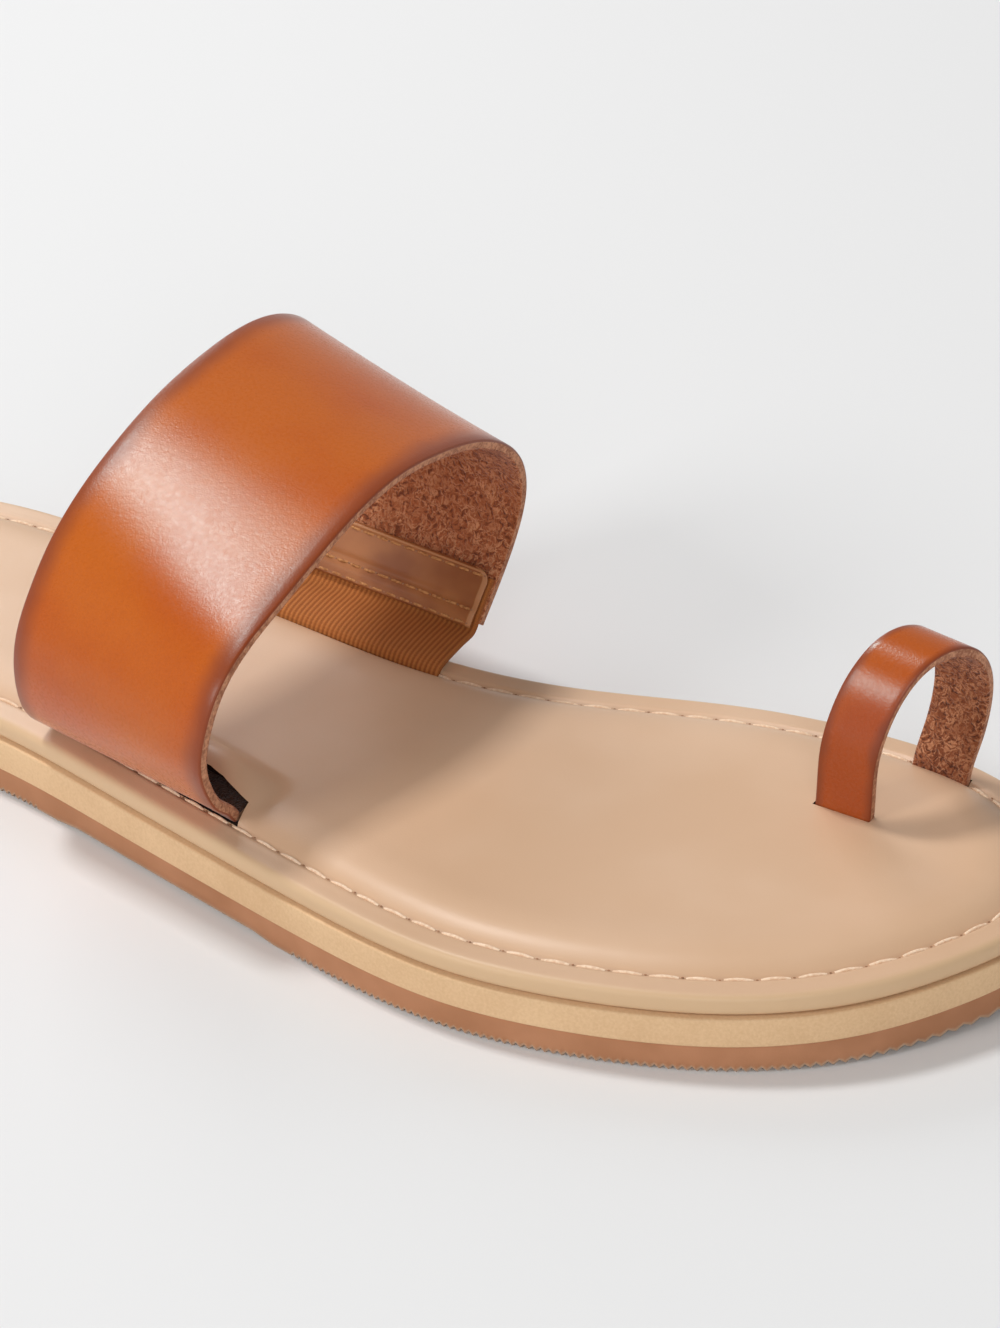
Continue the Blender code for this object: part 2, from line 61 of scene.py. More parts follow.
LOG = logging.getLogger("sandal")
BODY = "root"
SOCKETS = {float: "NodeSocketFloat", int: "NodeSocketInt", tuple: "NodeSocketVector"}


class Slot(Enum):
    """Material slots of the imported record."""

    RUBBER = "rubber"
    FOAM = "foam"
    INSOLE = "insole"
    STRAP = "strap_leather"
    ELASTIC = "elastic"
    TAPE = "tape_leather"


class Side(Enum):
    """The two long sides of the sole, as the sign of their Y."""

    OUTER = -1
    INNER = 1


# Outline of the sole. Columns: station, inner edge and outer edge, as shares.
OUTLINE: Rows = (
    (0.00, 0.000, 0.000),
    (0.02, 0.168, -0.163),
    (0.05, 0.250, -0.238),
    (0.10, 0.303, -0.287),
    (0.20, 0.324, -0.314),
    (0.30, 0.316, -0.332),
    (0.40, 0.298, -0.381),
    (0.50, 0.284, -0.436),
    (0.60, 0.332, -0.487),
    (0.70, 0.434, -0.511),
    (0.80, 0.490, -0.459),
    (0.88, 0.483, -0.364),
    (0.94, 0.416, -0.233),
    (0.98, 0.304, -0.068),
    (1.00, 0.152, 0.095),
)

# Instep strap's outer face. Columns: across and height at the front edge, then
# across and height at the rear edge, as shares.
STRAP_SECTIONS: Rows = (
    (0.000, 0.004, 0.000, 0.003),
    (-0.027, 0.039, -0.062, 0.028),
    (-0.094, 0.110, -0.144, 0.085),
    (-0.152, 0.204, -0.200, 0.155),
    (-0.191, 0.303, -0.233, 0.235),
    (-0.203, 0.399, -0.250, 0.322),
    (-0.184, 0.511, -0.241, 0.431),
    (-0.130, 0.634, -0.179, 0.553),
    (-0.015, 0.738, -0.070, 0.685),
    (0.141, 0.812, 0.079, 0.793),
    (0.338, 0.898, 0.279, 0.885),
    (0.544, 0.973, 0.511, 0.958),
    (0.758, 1.000, 0.763, 0.997),
    (0.972, 0.967, 1.023, 1.000),
    (1.178, 0.898, 1.259, 0.939),
    (1.341, 0.791, 1.429, 0.821),
    (1.449, 0.654, 1.526, 0.664),
    (1.485, 0.511, 1.546, 0.496),
    (1.462, 0.364, 1.507, 0.334),
    (1.394, 0.204, 1.422, 0.183),
    (1.298, 0.033, 1.309, 0.045),
)

# Gore below the strap. Columns: distance beyond the sole's edge and height, as shares.
GORE_DRAPE: Rows = (
    (-0.940, 0.03),
    (-0.830, 0.10),
    (-0.600, 0.14),
    (-0.210, 0.16),
    (0.220, 0.17),
    (0.680, 0.18),
)

# Pad's rise behind its seam. Columns: distance as a share of the pad's edge, and
# height as a share of the pad's crown.
PAD_PROFILE: Rows = (
    (0.2, 0.34),
    (0.5, 0.68),
    (1.0, 0.93),
    (1.5, 1.00),
    (2.1, 0.97),
    (2.7, 0.95),
)

# Ridge and trough along the tape, in metres. Columns: place counted from the
# strap's end, height and half width.
TAPE_RELIEF: Rows = (
    (0.0041, -0.00030, 0.0008),
    (0.0019, 0.00016, 0.0009),
)

# Rows of stitches along the tape, in metres. Columns: place counted from the
# strap's end, and height above the tape's back.
TAPE_SEAMS: Rows = (
    (0.0006, 0.00060),
    (0.0032, 0.00066),
    (0.0098, 0.00066),
)

# Toe loop's outer face. Columns: distance across and height, as shares.
LOOP_SECTION: Rows = (
    (0.000, 0.050),
    (-0.020, 0.260),
    (-0.028, 0.450),
    (0.030, 0.660),
    (0.175, 0.865),
    (0.410, 0.992),
    (0.640, 1.000),
    (0.825, 0.942),
    (0.975, 0.826),
    (1.068, 0.660),
    (1.090, 0.450),
    (1.055, 0.258),
    (0.995, 0.050),
)

# Lamps round the shoe. Columns: name, place in metres, side in metres, watts.
LAMPS: Tuple[Tuple[str, Tuple[float, float, float], float, float], ...] = (
    ("key", (-0.65, 0.08, 1.57), 0.28, 12.5),
    ("front", (-0.60, -1.50, 1.10), 0.6, 11.0),
    ("rear", (-1.30, 0.90, 0.90), 0.8, 8.5),
    ("fill", (0.95, -1.35, 0.95), 0.8, 8.0),
)


def spline_slopes(knots: np.ndarray, values: np.ndarray, periodic: bool) -> np.ndarray:
    """Find the slopes of the cubic spline through values at knots.

    Args:
        knots: Rising places of the values.
        values: One row of coordinates for each knot.
        periodic: Whether the last value is the first one again.

    Returns:
        One row of slopes for each knot.
    """
    count = len(knots)
    matrix = np.zeros((count, count))
    right = np.zeros((count, values.shape[1]))
    step = np.diff(knots)
    rise = np.diff(values, axis=0) / step[:, None]
    for i in range(1, count - 1):
        matrix[i, i - 1] = step[i]
        matrix[i, i] = 2.0 * (step[i - 1] + step[i])
        matrix[i, i + 1] = step[i - 1]
        right[i] = 3.0 * (step[i] * rise[i - 1] + step[i - 1] * rise[i])
    if periodic:
        matrix[0, 0] = 2.0 * (step[-1] + step[0])
        matrix[0, 1] = step[-1]
        matrix[0, count - 2] = step[0]
        right[0] = 3.0 * (step[0] * rise[-1] + step[-1] * rise[0])
        matrix[-1, 0] = 1.0
        matrix[-1, -1] = -1.0
    else:
        matrix[0, 0] = 2.0
        matrix[0, 1] = 1.0
        right[0] = 3.0 * rise[0]
        matrix[-1, -1] = 2.0
        matrix[-1, -2] = 1.0
        right[-1] = 3.0 * rise[-1]
    return np.linalg.solve(matrix, right)


def smooth_curve(points: Rows, count: int, periodic: bool = False) -> np.ndarray:
    """Sample a cubic spline through points, evenly by length.

    Args:
        points: Rows of coordinates.
        count: How many points to return.
        periodic: Whether the last point is the first one again.

    Returns:
        An array of count rows.
    """
    points = np.asarray(points, float)
    spans = np.linalg.norm(np.diff(points, axis=0), axis=1)
    knots = np.concatenate(([0.0], np.cumsum(spans)))
    slopes = spline_slopes(knots, points, periodic)

    def at(places: np.ndarray) -> np.ndarray:
        """Evaluate the spline at places."""
        i = np.clip(np.searchsorted(knots, places, side="right") - 1, 0, len(knots) - 2)
        step = (knots[i + 1] - knots[i])[:, None]
        t = ((places - knots[i])[:, None]) / step
        start = points[i] * (2 * t**3 - 3 * t**2 + 1) + points[i + 1] * (3 * t**2 - 2 * t**3)
        ends = slopes[i] * (t**3 - 2 * t**2 + t) + slopes[i + 1] * (t**3 - t**2)
        return start + ends * step

    fine = np.linspace(0.0, knots[-1], 40 * len(points))
    trace = at(fine)
    travelled = path_lengths(trace)
    wanted = np.linspace(0.0, travelled[-1], count)
    return at(np.interp(wanted, travelled, fine))


def path_lengths(points: np.ndarray) -> np.ndarray:
    """Return the length travelled at each point of a polyline."""
    return np.concatenate(([0.0], np.cumsum(np.linalg.norm(np.diff(points, axis=0), axis=1))))


def linked(name: str, data: Any) -> bpy.types.Object:
    """Make an object of some data and link it to the scene."""
    item = bpy.data.objects.new(name, data)
    bpy.context.scene.collection.objects.link(item)
    return item


@dataclass(frozen=True)
class SoleForm:
    """The true shape of the last's bottom, which every piece is laid out on."""

    length: float = 0.260
    breadth: float = 0.0984
    outsole: float = 0.0054
    midsole: float = 0.00495
    footbed_edge: float = 0.0035
    heel_wedge: float = 0.0011
    toe_spring: float = 0.0013
    waist_clearance: float = 0.0006
    seat_gap: float = 0.0003

    def outline(self, side: Side) -> np.ndarray:
        """Return the table's points of one side of the outline."""
        column = 1 if side is Side.INNER else 2
        return np.array(OUTLINE)[:, (0, column)] * (self.length, self.breadth)

    def ring(self, count: int) -> Tuple[np.ndarray, np.ndarray]:
        """Trace the outline from the heel round to the heel.

        Args:
            count: How many points to return.

        Returns:
            The points, and the outward normal at each.
        """
        loop = np.concatenate((self.outline(Side.OUTER), self.outline(Side.INNER)[::-1]))
        points = smooth_curve(loop, count + 1, periodic=True)[:-1]
        along = np.roll(points, -1, axis=0) - np.roll(points, 1, axis=0)
        along /= np.linalg.norm(along, axis=1)[:, None]
        return points, np.column_stack((along[:, 1], -along[:, 0]))

    def edge(self, station: float, side: Side) -> float:
        """Return the sole's edge at a station of one side."""
        trace = smooth_curve(self.outline(side)[1:], count=200)
        return float(np.interp(station, trace[:, 0], trace[:, 1]))

    def line_inside(self, station: float, side: Side, inset: float) -> float:
        """Return where a line that runs inset from the edge crosses a station."""
        step = 0.001
        rise = self.edge(station + step, side) - self.edge(station - step, side)
        slope = rise / (2 * step)
        return self.edge(station, side) - side.value * inset * math.hypot(1.0, slope)

    def toe_lift(self, station: np.ndarray) -> np.ndarray:
        """Return the height that the toe spring adds at stations."""
        start = 0.85 * self.length
        share = np.clip((station - start) / (self.length - start), 0.0, 1.0)
        return self.toe_spring * share**2

    def ground(self, station: np.ndarray) -> np.ndarray:
        """Return the height of the outsole's underside, raised at the waist."""
        ramp = 0.02 * self.length
        start = 0.35 * self.length
        end = 0.56 * self.length
        share = np.clip(np.minimum(station - start, end - station) / ramp, 0.0, 1.0)
        return self.toe_lift(station) + self.waist_clearance * share

    def midsole_base(self, station: np.ndarray) -> np.ndarray:
        """Return the height of the midsole's underside at stations."""
        return self.toe_lift(station) + self.outsole + self.seat_gap

    def midsole_top(self, station: np.ndarray) -> np.ndarray:
        """Return the height of the midsole's top at stations."""
        ball = 0.69 * self.length
        wedge = self.heel_wedge * np.clip((ball - station) / ball, 0.0, 1.0)
        return self.midsole_base(station) + self.midsole + wedge

    def footbed_base(self, station: np.ndarray) -> np.ndarray:
        """Return the height of the footbed's underside at stations."""
        return self.midsole_top(station) + self.seat_gap

    def rim(self, station: np.ndarray) -> np.ndarray:
        """Return the height of the footbed's rim at stations."""
        return self.footbed_base(station) + self.footbed_edge


def operator(operation: str, reflected: bool = False) -> Callable[["Wire", Any], "Wire"]:
    """Make an operator of wires.

    Args:
        operation: The Math node's operation.
        reflected: Whether the wire stands on the right of the sign.

    Returns:
        The method that adds the Math node.
    """

    def apply(wire: "Wire", other: Any) -> "Wire":
        """Add the Math node."""
        first, second = (other, wire) if reflected else (wire, other)
        return wire.math(operation, first, second)

    return apply


class Wire:
    """A socket of a node tree, with arithmetic that adds Math nodes."""

    __add__ = operator("ADD")
    __radd__ = operator("ADD", reflected=True)
    __sub__ = operator("SUBTRACT")
    __rsub__ = operator("SUBTRACT", reflected=True)
    __mul__ = operator("MULTIPLY")
    __rmul__ = operator("MULTIPLY", reflected=True)
    __truediv__ = operator("DIVIDE")
    least = operator("MINIMUM")
    most = operator("MAXIMUM")

    def __init__(self, graph: "Graph", socket: bpy.types.NodeSocket) -> None:
        """Keep the socket and the graph that it belongs to."""
        self.graph = graph
        self.socket = socket

    def math(self, operation: str, first: Any, second: Any = 0.0) -> "Wire":
        """Add a Math node.

        Args:
            operation: The node's operation.
            first: First number or wire.
            second: Second number or wire.

        Returns:
            The wire of the result.
        """
        return self.graph.node("ShaderNodeMath", {"operation": operation}, {0: first, 1: second})

    def size(self) -> "Wire":
        """Return the number without its sign."""
        return self.math("ABSOLUTE", self)

    def between(self, low: float, high: float) -> "Wire":
        """Return 0 below low and 1 above high, smooth between."""
        return self.graph.node(
            "ShaderNodeMapRange",
            {"interpolation_type": "SMOOTHSTEP"},
            {"Value": self, "From Min": low, "From Max": high},
        )


class Graph:
    """A node tree that is built from calls."""

    def __init__(self, tree: bpy.types.NodeTree) -> None:
        """Keep the tree."""
        self.tree = tree

    def node(
        self,
        kind: str,
        settings: Optional[Dict[str, Any]] = None,
        inputs: Optional[Dict[Union[str, int], Any]] = None,
        output: Union[str, int] = 0,
    ) -> Wire:
        """Add a node.

        Args:
            kind: The node's type.
            settings: Its settings.
            inputs: Values or wires of its sockets, by name or number.
            output: The socket to return.

        Returns:
            The wire of that socket.
        """
        made = self.tree.nodes.new(kind)
        for key, value in (settings or {}).items():
            setattr(made, key, value)
        for key, value in (inputs or {}).items():
            self.feed(made.inputs[key], value)
        return Wire(self, made.outputs[output])

    def feed(self, socket: bpy.types.NodeSocket, value: Any) -> None:
        """Link a wire to a socket, or set the socket's own value."""
        if isinstance(value, Wire):
            self.tree.links.new(value.socket, socket)
        elif isinstance(value, tuple) and len(value) == 3 and socket.type == "RGBA":
            socket.default_value = (*value, 1.0)
        else:
            socket.default_value = value

    def scaled(self, vector: Wire, factor: Any) -> Wire:
        """Return a vector times a number."""
        return self.node("ShaderNodeVectorMath", {"operation": "SCALE"}, {0: vector, "Scale": factor})


class Paint(Graph):
    """A material that is built from expressions."""

    def __init__(self, name: str, roughness: float, specular: float = 0.5) -> None:
        """Make the material with its constant values.

        Args:
            name: The material's name.
            roughness: Roughness where nothing varies it.
            specular: Strength of the shader's reflection, 0.5 for most plastics.
        """
        self.material = bpy.data.materials.new(name)
        self.material.use_nodes = True
        super().__init__(self.material.node_tree)
        self.shader = self.tree.nodes["Principled BSDF"]
        self.give({"Roughness": roughness, "Specular IOR Level": specular})

    def give(self, values: Dict[str, Any]) -> None:
        """Give the shader values or wires, by the names of its sockets."""
        for key, value in values.items():
            self.feed(self.shader.inputs[key], value)

    def place(self) -> Wire:
        """Return the Object coordinates."""
        return self.node("ShaderNodeTexCoord", output="Object")

    def axis(self, name: str, uv: bool = False) -> Wire:
        """Return one axis of the Object coordinates, or of the UV map."""
        source = self.node("ShaderNodeUVMap", {"uv_map": "lay"}) if uv else self.place()
        return self.node("ShaderNodeSeparateXYZ", inputs={0: source}, output=name)

    def attribute(self, name: str) -> Wire:
        """Return a number that is stored on the mesh."""
        return self.node("ShaderNodeAttribute", {"attribute_name": name}, output="Fac")

    def noise(self, scale: float, detail: float = 2.0, at: Optional[Wire] = None) -> Wire:
        """Return smooth noise from 0 to 1.

        Args:
            scale: Lumps per metre.
            detail: How many finer layers to add.
            at: Where to read it, which is the Object coordinates by default.

        Returns:
            The wire of the noise.
        """
        inputs = {"Vector": at or self.place(), "Scale": scale, "Detail": detail}
        return self.node("ShaderNodeTexNoise", inputs=inputs)

    def cells(self, scale: float, at: Optional[Wire] = None) -> Wire:
        """Return the distance to the nearest point of a scatter of points."""
        inputs = {"Vector": at or self.place(), "Scale": scale}
        return self.node("ShaderNodeTexVoronoi", inputs=inputs, output="Distance")

    def mix(self, factor: Any, first: Any, second: Any) -> Wire:
        """Mix two colours by a factor."""
        mixed = self.tree.nodes.new("ShaderNodeMix")
        mixed.data_type = "RGBA"
        self.feed(mixed.inputs["Factor"], factor)
        colours = [socket for socket in mixed.inputs if socket.type == "RGBA"]
        self.feed(colours[0], first)
        self.feed(colours[1], second)
        result = next(socket for socket in mixed.outputs if socket.type == "RGBA")
        return Wire(self, result)

    def bump(self, height: Wire, depth: float, strength: float = 1.0) -> None:
        """Feed a height to the shader's normal.

        Args:
            height: Height from 0 to 1.
            depth: What a height of 1 is, in metres.
            strength: Strength of the bump.
        """
        inputs = {"Height": height, "Distance": depth, "Strength": strength}
        self.give({"Normal": self.node("ShaderNodeBump", inputs=inputs)})

    def dress(self, colour: Any, roughness: Any = None) -> bpy.types.Material:
        """Feed the colour and roughness, and return the material."""
        self.give({"Base Color": colour})
        if roughness is not None:
            self.give({"Roughness": roughness})
        return self.material


def tone(red: int, green: int, blue: int) -> Colour:
    """Return a shade given as it looks on a screen, as light values."""

    def linear(value: int) -> float:
        """Undo the screen's curve."""
        share = value / 255.0
        return share / 12.92 if share <= 0.04045 else ((share + 0.055) / 1.055) ** 2.4

    return (linear(red), linear(green), linear(blue))


def emboss(paint: Paint, pores: float, depth: float, strength: float) -> Wire:
    """Emboss the grain and the pores of smooth leather.

    Args:
        paint: The leather's paint.
        pores: How many pores per metre.
        depth: Depth of the relief in metres.
        strength: Strength of the bump.

    Returns:
        The wire of the grain.
    """
    grain = paint.noise(scale=1300.0, detail=4.0)
    paint.bump(grain * 0.6 + paint.cells(pores) * 0.4, depth, strength)
    return grain


@dataclass(frozen=True)
class SmoothLeather:
    """Burnished, lightly waxed strap leather, dark along its edges."""

    width: float
    middle: Colour = tone(190, 94, 20)
    deep: Colour = tone(182, 82, 14)
    burnish: Colour = tone(128, 56, 30)
    burnish_reach: float = 0.0052
    roughness: float = 0.28
    specular: float = 0.28
    tint: Colour = (0.66, 1.0, 1.0)
    sheen: float = 0.16
    burnish_wander: float = 0.003
    cloud_scale: float = 38.0
    speck_share: float = 0.07

    def make(self, name: str) -> bpy.types.Material:
        """Build the material; the UV map's X runs across the strap in metres."""
        paint = Paint(name, self.roughness, self.specular)
        across = paint.axis("X", uv=True)
        edge = across.least(self.width - across)
        wander = paint.noise(90.0, 3.0)
        near = 1.0 - (edge + (wander - 0.5) * self.burnish_wander).between(0.0, self.burnish_reach)
        cloud = paint.noise(self.cloud_scale, 3.0).between(0.35, 0.75)
        body = paint.mix(cloud, self.middle, self.deep)
        fine = paint.noise(1400.0, 2.0)
        speck = paint.mix(fine.between(0.45, 0.75) * self.speck_share, body, self.burnish)
        colour = paint.mix(near * 0.82, speck, self.burnish)
        grain = emboss(paint, pores=2600.0, depth=0.00006, strength=0.55)
        paint.give({"Specular Tint": self.tint})
        paint.give({"Sheen Weight": self.sheen, "Sheen Roughness": 0.40})
        paint.give({"Coat Weight": 0.07, "Coat Roughness": 0.30})
        return paint.dress(colour, self.roughness + (grain - 0.5) * 0.16 + near * 0.06)


@dataclass(frozen=True)
class Suede:
    """Fibrous flesh side of the leather, with painted shade over the tucked tail where it has one."""

    dark: Colour = tone(122, 64, 38)
    middle: Colour = tone(172, 98, 60)
    light: Colour = tone(220, 156, 114)
    # Near-black painted shade for the tail under the pad's lip.
    tucked: Colour = tone(34, 20, 14)
    tail: float = 0.0
    warp_scale: float = 520.0
    warp_reach: float = 0.0030
    curl_scale: float = 720.0
    fibre_scale: float = 1500.0
    clump_scale: float = 240.0
    pile_depth: float = 0.00032

    def make(self, name: str) -> bpy.types.Material:
        """Build the material; the UV map's Y is the length from the tucked end."""
        paint = Paint(name, roughness=0.92, specular=0.2)
        warp = paint.node(
            "ShaderNodeTexNoise",
            inputs={"Vector": paint.place(), "Scale": self.warp_scale, "Detail": 2.0},
            output="Color",
        )
        bent = paint.scaled(warp, self.warp_reach)
        at = paint.node("ShaderNodeVectorMath", {"operation": "ADD"}, {0: paint.place(), 1: bent})
        curls, fibres = (
            1.0 - (paint.noise(scale, 1.0, at) - 0.5).size() * 5.0
            for scale in (self.curl_scale, self.fibre_scale)
        )
        clumps = paint.noise(self.clump_scale, 2.0).between(0.32, 0.66)
        pile = (curls * 0.55 + fibres * 0.45).most(0.0)
        base = paint.mix(pile.between(0.05, 0.60), self.dark, self.middle)
        tips = pile.between(0.50, 1.0) * (clumps * 0.6 + 0.4)
        paint.bump(pile, self.pile_depth, 0.8)
        paint.give({"Sheen Weight": 0.20, "Sheen Roughness": 0.5})
        colour = paint.mix(tips, base, self.light)
        # Painted shade: the tail's suede turns near black under the pad's lip.
        if self.tail > 0.0:
            inside = 1.0 - paint.axis("Y", uv=True).between(0.85 * self.tail, 1.25 * self.tail)
            colour = paint.mix(inside * 0.9, colour, self.tucked)
        return paint.dress(colour)


@dataclass(frozen=True)
class InsoleLeather:
    """Smooth beige lining over the footbed's foam, tawnier round its edge, with painted shade along its
    seam's valley.
    """

    middle: Colour = tone(219, 184, 153)
    warm: Colour = tone(212, 174, 140)
    wrapped: Colour = tone(212, 178, 138)
    # Painted shade along the seam's valley.
    seam: Colour = tone(186, 146, 116)
    stitch_inset: float = 0.0057
    cloud_scale: float = 26.0
    roughness: float = 0.42

    def make(self, name: str) -> bpy.types.Material:
        """Build the material; the attribute inset is the distance from the edge."""
        paint = Paint(name, self.roughness, specular=0.42)
        inset = paint.attribute("inset")
        cloud = paint.noise(self.cloud_scale, 3.0).between(0.3, 0.7)
        body = paint.mix(cloud, self.middle, self.warm)
        side = 1.0 - inset.between(0.0002, 0.0016)
        body = paint.mix(side * 0.85, body, self.wrapped)
        # Darker along the seam's valley: painted shade.
        seam = 1.0 - (inset - self.stitch_inset).size().between(0.0001, 0.0009)
        colour = paint.mix(seam * 0.45, body, self.seam)
        grain = emboss(paint, pores=3000.0, depth=0.00004, strength=0.45)
        paint.give({"Coat Weight": 0.12, "Coat Roughness": 0.30})
        return paint.dress(colour, self.roughness + (grain - 0.5) * 0.12 + side * 0.12)


@dataclass(frozen=True)
class SoleRubber:
    """Brown rubber, paler and dusty on the tips of its tread."""

    body: Colour = tone(188, 132, 96)
    deep: Colour = tone(170, 116, 80)
    dusty: Colour = tone(190, 166, 142)
    tread: float = 0.0009

    def make(self, name: str) -> bpy.types.Material:
        """Build the material; the attribute ground is the height above the tread."""
        paint = Paint(name, roughness=0.62, specular=0.35)
        cloud = paint.noise(70.0, 3.0).between(0.3, 0.7)
        fine = paint.noise(1500.0, 2.0)
        tip = 1.0 - paint.attribute("ground").between(0.2 * self.tread, 1.2 * self.tread)
        body = paint.mix(cloud, self.body, self.deep)
        colour = paint.mix(tip * 0.75, body, self.dusty)
        paint.bump(fine, 0.00006, 0.5)
        return paint.dress(colour)


@dataclass(frozen=True)
class Webbing:
    """Ribbed elastic, woven across its ribs, lighter on the crests as painted highlight and darker in the
    valleys as painted shade.
    """

    # Lighter rib crests and darker rib valleys: painted highlight and painted shade.
    crest: Colour = tone(184, 114, 60)
    valley_shade: Colour = tone(152, 88, 42)
    pitch: float = 0.0010
    pick_pitch: float = 0.00045

    def make(self, name: str) -> bpy.types.Material:
        """Build the material; the UV map's X runs across the ribs in metres."""
        paint = Paint(name, roughness=0.85, specular=0.2)
        turns = paint.axis("X", uv=True) * (2.0 * math.pi / self.pitch)
        rib = turns.math("COSINE", turns) * 0.5 + 0.5
        picks = paint.axis("Y", uv=True) * (2.0 * math.pi / self.pick_pitch)
        pick = picks.math("SINE", picks) * 0.5 + 0.5
        fuzz = paint.noise(2600.0, 2.0)
        # The rib term is painted light and shade in step with the raised ribs; fuzz and picks are the
        # weave's own mottle.
        shade = (rib * 0.75 + fuzz * 0.35 + pick * 0.12).between(0.25, 0.95)
        paint.bump(pick * 0.5 + fuzz * 0.5, 0.00010, 0.7)
        return paint.dress(paint.mix(shade, self.valley_shade, self.crest))


@dataclass(frozen=True)
class TapeLeather:
    """Thin brown facing leather, pale along its piped edge and its front end: painted highlight on the
    piping, and the cut end's own paler edge.
    """

    middle: Colour = tone(172, 110, 62)
    deep: Colour = tone(146, 86, 46)
    pale_edge_and_highlight: Colour = tone(204, 148, 102)

    def make(self, name: str) -> bpy.types.Material:
        """Build the material; the attribute crest is how proud a point stands."""
        paint = Paint(name, roughness=0.45, specular=0.40)
        cloud = paint.noise(110.0, 2.0).between(0.3, 0.7)
        grain = paint.noise(1500.0, 3.0)
        body = paint.mix(cloud, self.middle, self.deep)
        # Pale where crest is high: painted highlight along the piping, and the paler cut edge at the
        # front end.
        crest = paint.attribute("crest").between(0.55, 1.0)
        paint.bump(grain, 0.00006, 0.6)
        return paint.dress(paint.mix(crest * 0.7, body, self.pale_edge_and_highlight))


@dataclass(frozen=True)
class Mottled:
    """A finish of two shades in a fine mottle, which coarser clouds may spread.

    The fine and coarse mottles give their lumps per metre and their detail.
    """

    shade: Colour
    mottle: Colour
    roughness: float
    fine: Tuple[float, float] = (1500.0, 2.0)
    coarse: Tuple[float, float] = (60.0, 2.0)
    fine_share: float = 1.0
    span: Tuple[float, float] = (0.35, 0.65)
    depth: float = 0.00005
    strength: float = 0.5

    def make(self, name: str) -> bpy.types.Material:
        """Build the material."""
        paint = Paint(name, self.roughness, specular=0.3)
        fine = paint.noise(*self.fine)
        spread = fine
        if self.fine_share < 1.0:
            spread = fine * self.fine_share + paint.noise(*self.coarse) * (1.0 - self.fine_share)
        paint.bump(fine, self.depth, self.strength)
        return paint.dress(paint.mix(spread.between(*self.span), self.shade, self.mottle))


class Finishes:
    """All materials of the sandal, made once."""

    def __init__(self, strap_width: float, strap_tail: float, loop_width: float) -> None:
        """Build every material.

        Args:
            strap_width: Width of the instep strap.
            strap_tail: Length of the strap that is tucked into the footbed.
            loop_width: Width of the toe loop.
        """
        self.strap = SmoothLeather(strap_width).make("strap_grain")
        self.loop = SmoothLeather(
            loop_width,
            middle=tone(184, 88, 24),
            deep=tone(166, 70, 18),
            burnish_reach=0.0020,
            roughness=0.27,
            specular=0.46,
            sheen=0.0,
        ).make("loop_grain")
        self.suede = Suede(
            dark=tone(96, 50, 30),
            middle=tone(148, 84, 52),
            light=tone(212, 150, 110),
        ).make("suede")
        # The strap's suede has painted shade over its tucked tail.
        self.strap_suede = Suede(tail=strap_tail).make("strap_suede")
        self.edge = Mottled(
            tone(152, 98, 72),
            tone(208, 152, 118),
            roughness=0.75,
            fine=(1700.0, 3.0),
            coarse=(420.0, 2.0),
            fine_share=0.6,
            span=(0.36, 0.66),
            depth=0.0002,
            strength=0.7,
        ).make("raw_edge")
        self.insole = InsoleLeather().make("insole_leather")
        self.foam = Mottled(
            tone(228, 192, 150),
            tone(216, 178, 136),
            roughness=0.78,
            fine=(1900.0, 3.0),
            fine_share=0.5,
            span=(0.3, 0.7),
            depth=0.0001,
            strength=0.6,
        ).make("midsole_foam")
        self.rubber = SoleRubber().make("sole_rubber")
        self.webbing = Webbing().make("webbing")
        self.tape = TapeLeather().make("tape_grain")
        self.thread = Mottled(tone(248, 222, 194), tone(234, 200, 168), 0.7).make("thread")
        self.brown_thread = Mottled(tone(206, 150, 96), tone(168, 112, 66), 0.7).make("brown_thread")
        # Needle-hole dots darker than the leather: painted shade of the holes.
        self.hole_shade = Mottled(tone(172, 126, 94), tone(146, 104, 76), 0.9).make("needle_hole_shade")
        # Near-black walls of the cut slots: painted shade.
        self.slot_shade = Mottled(tone(46, 28, 20), tone(30, 18, 14), 0.95).make("slot_shade")


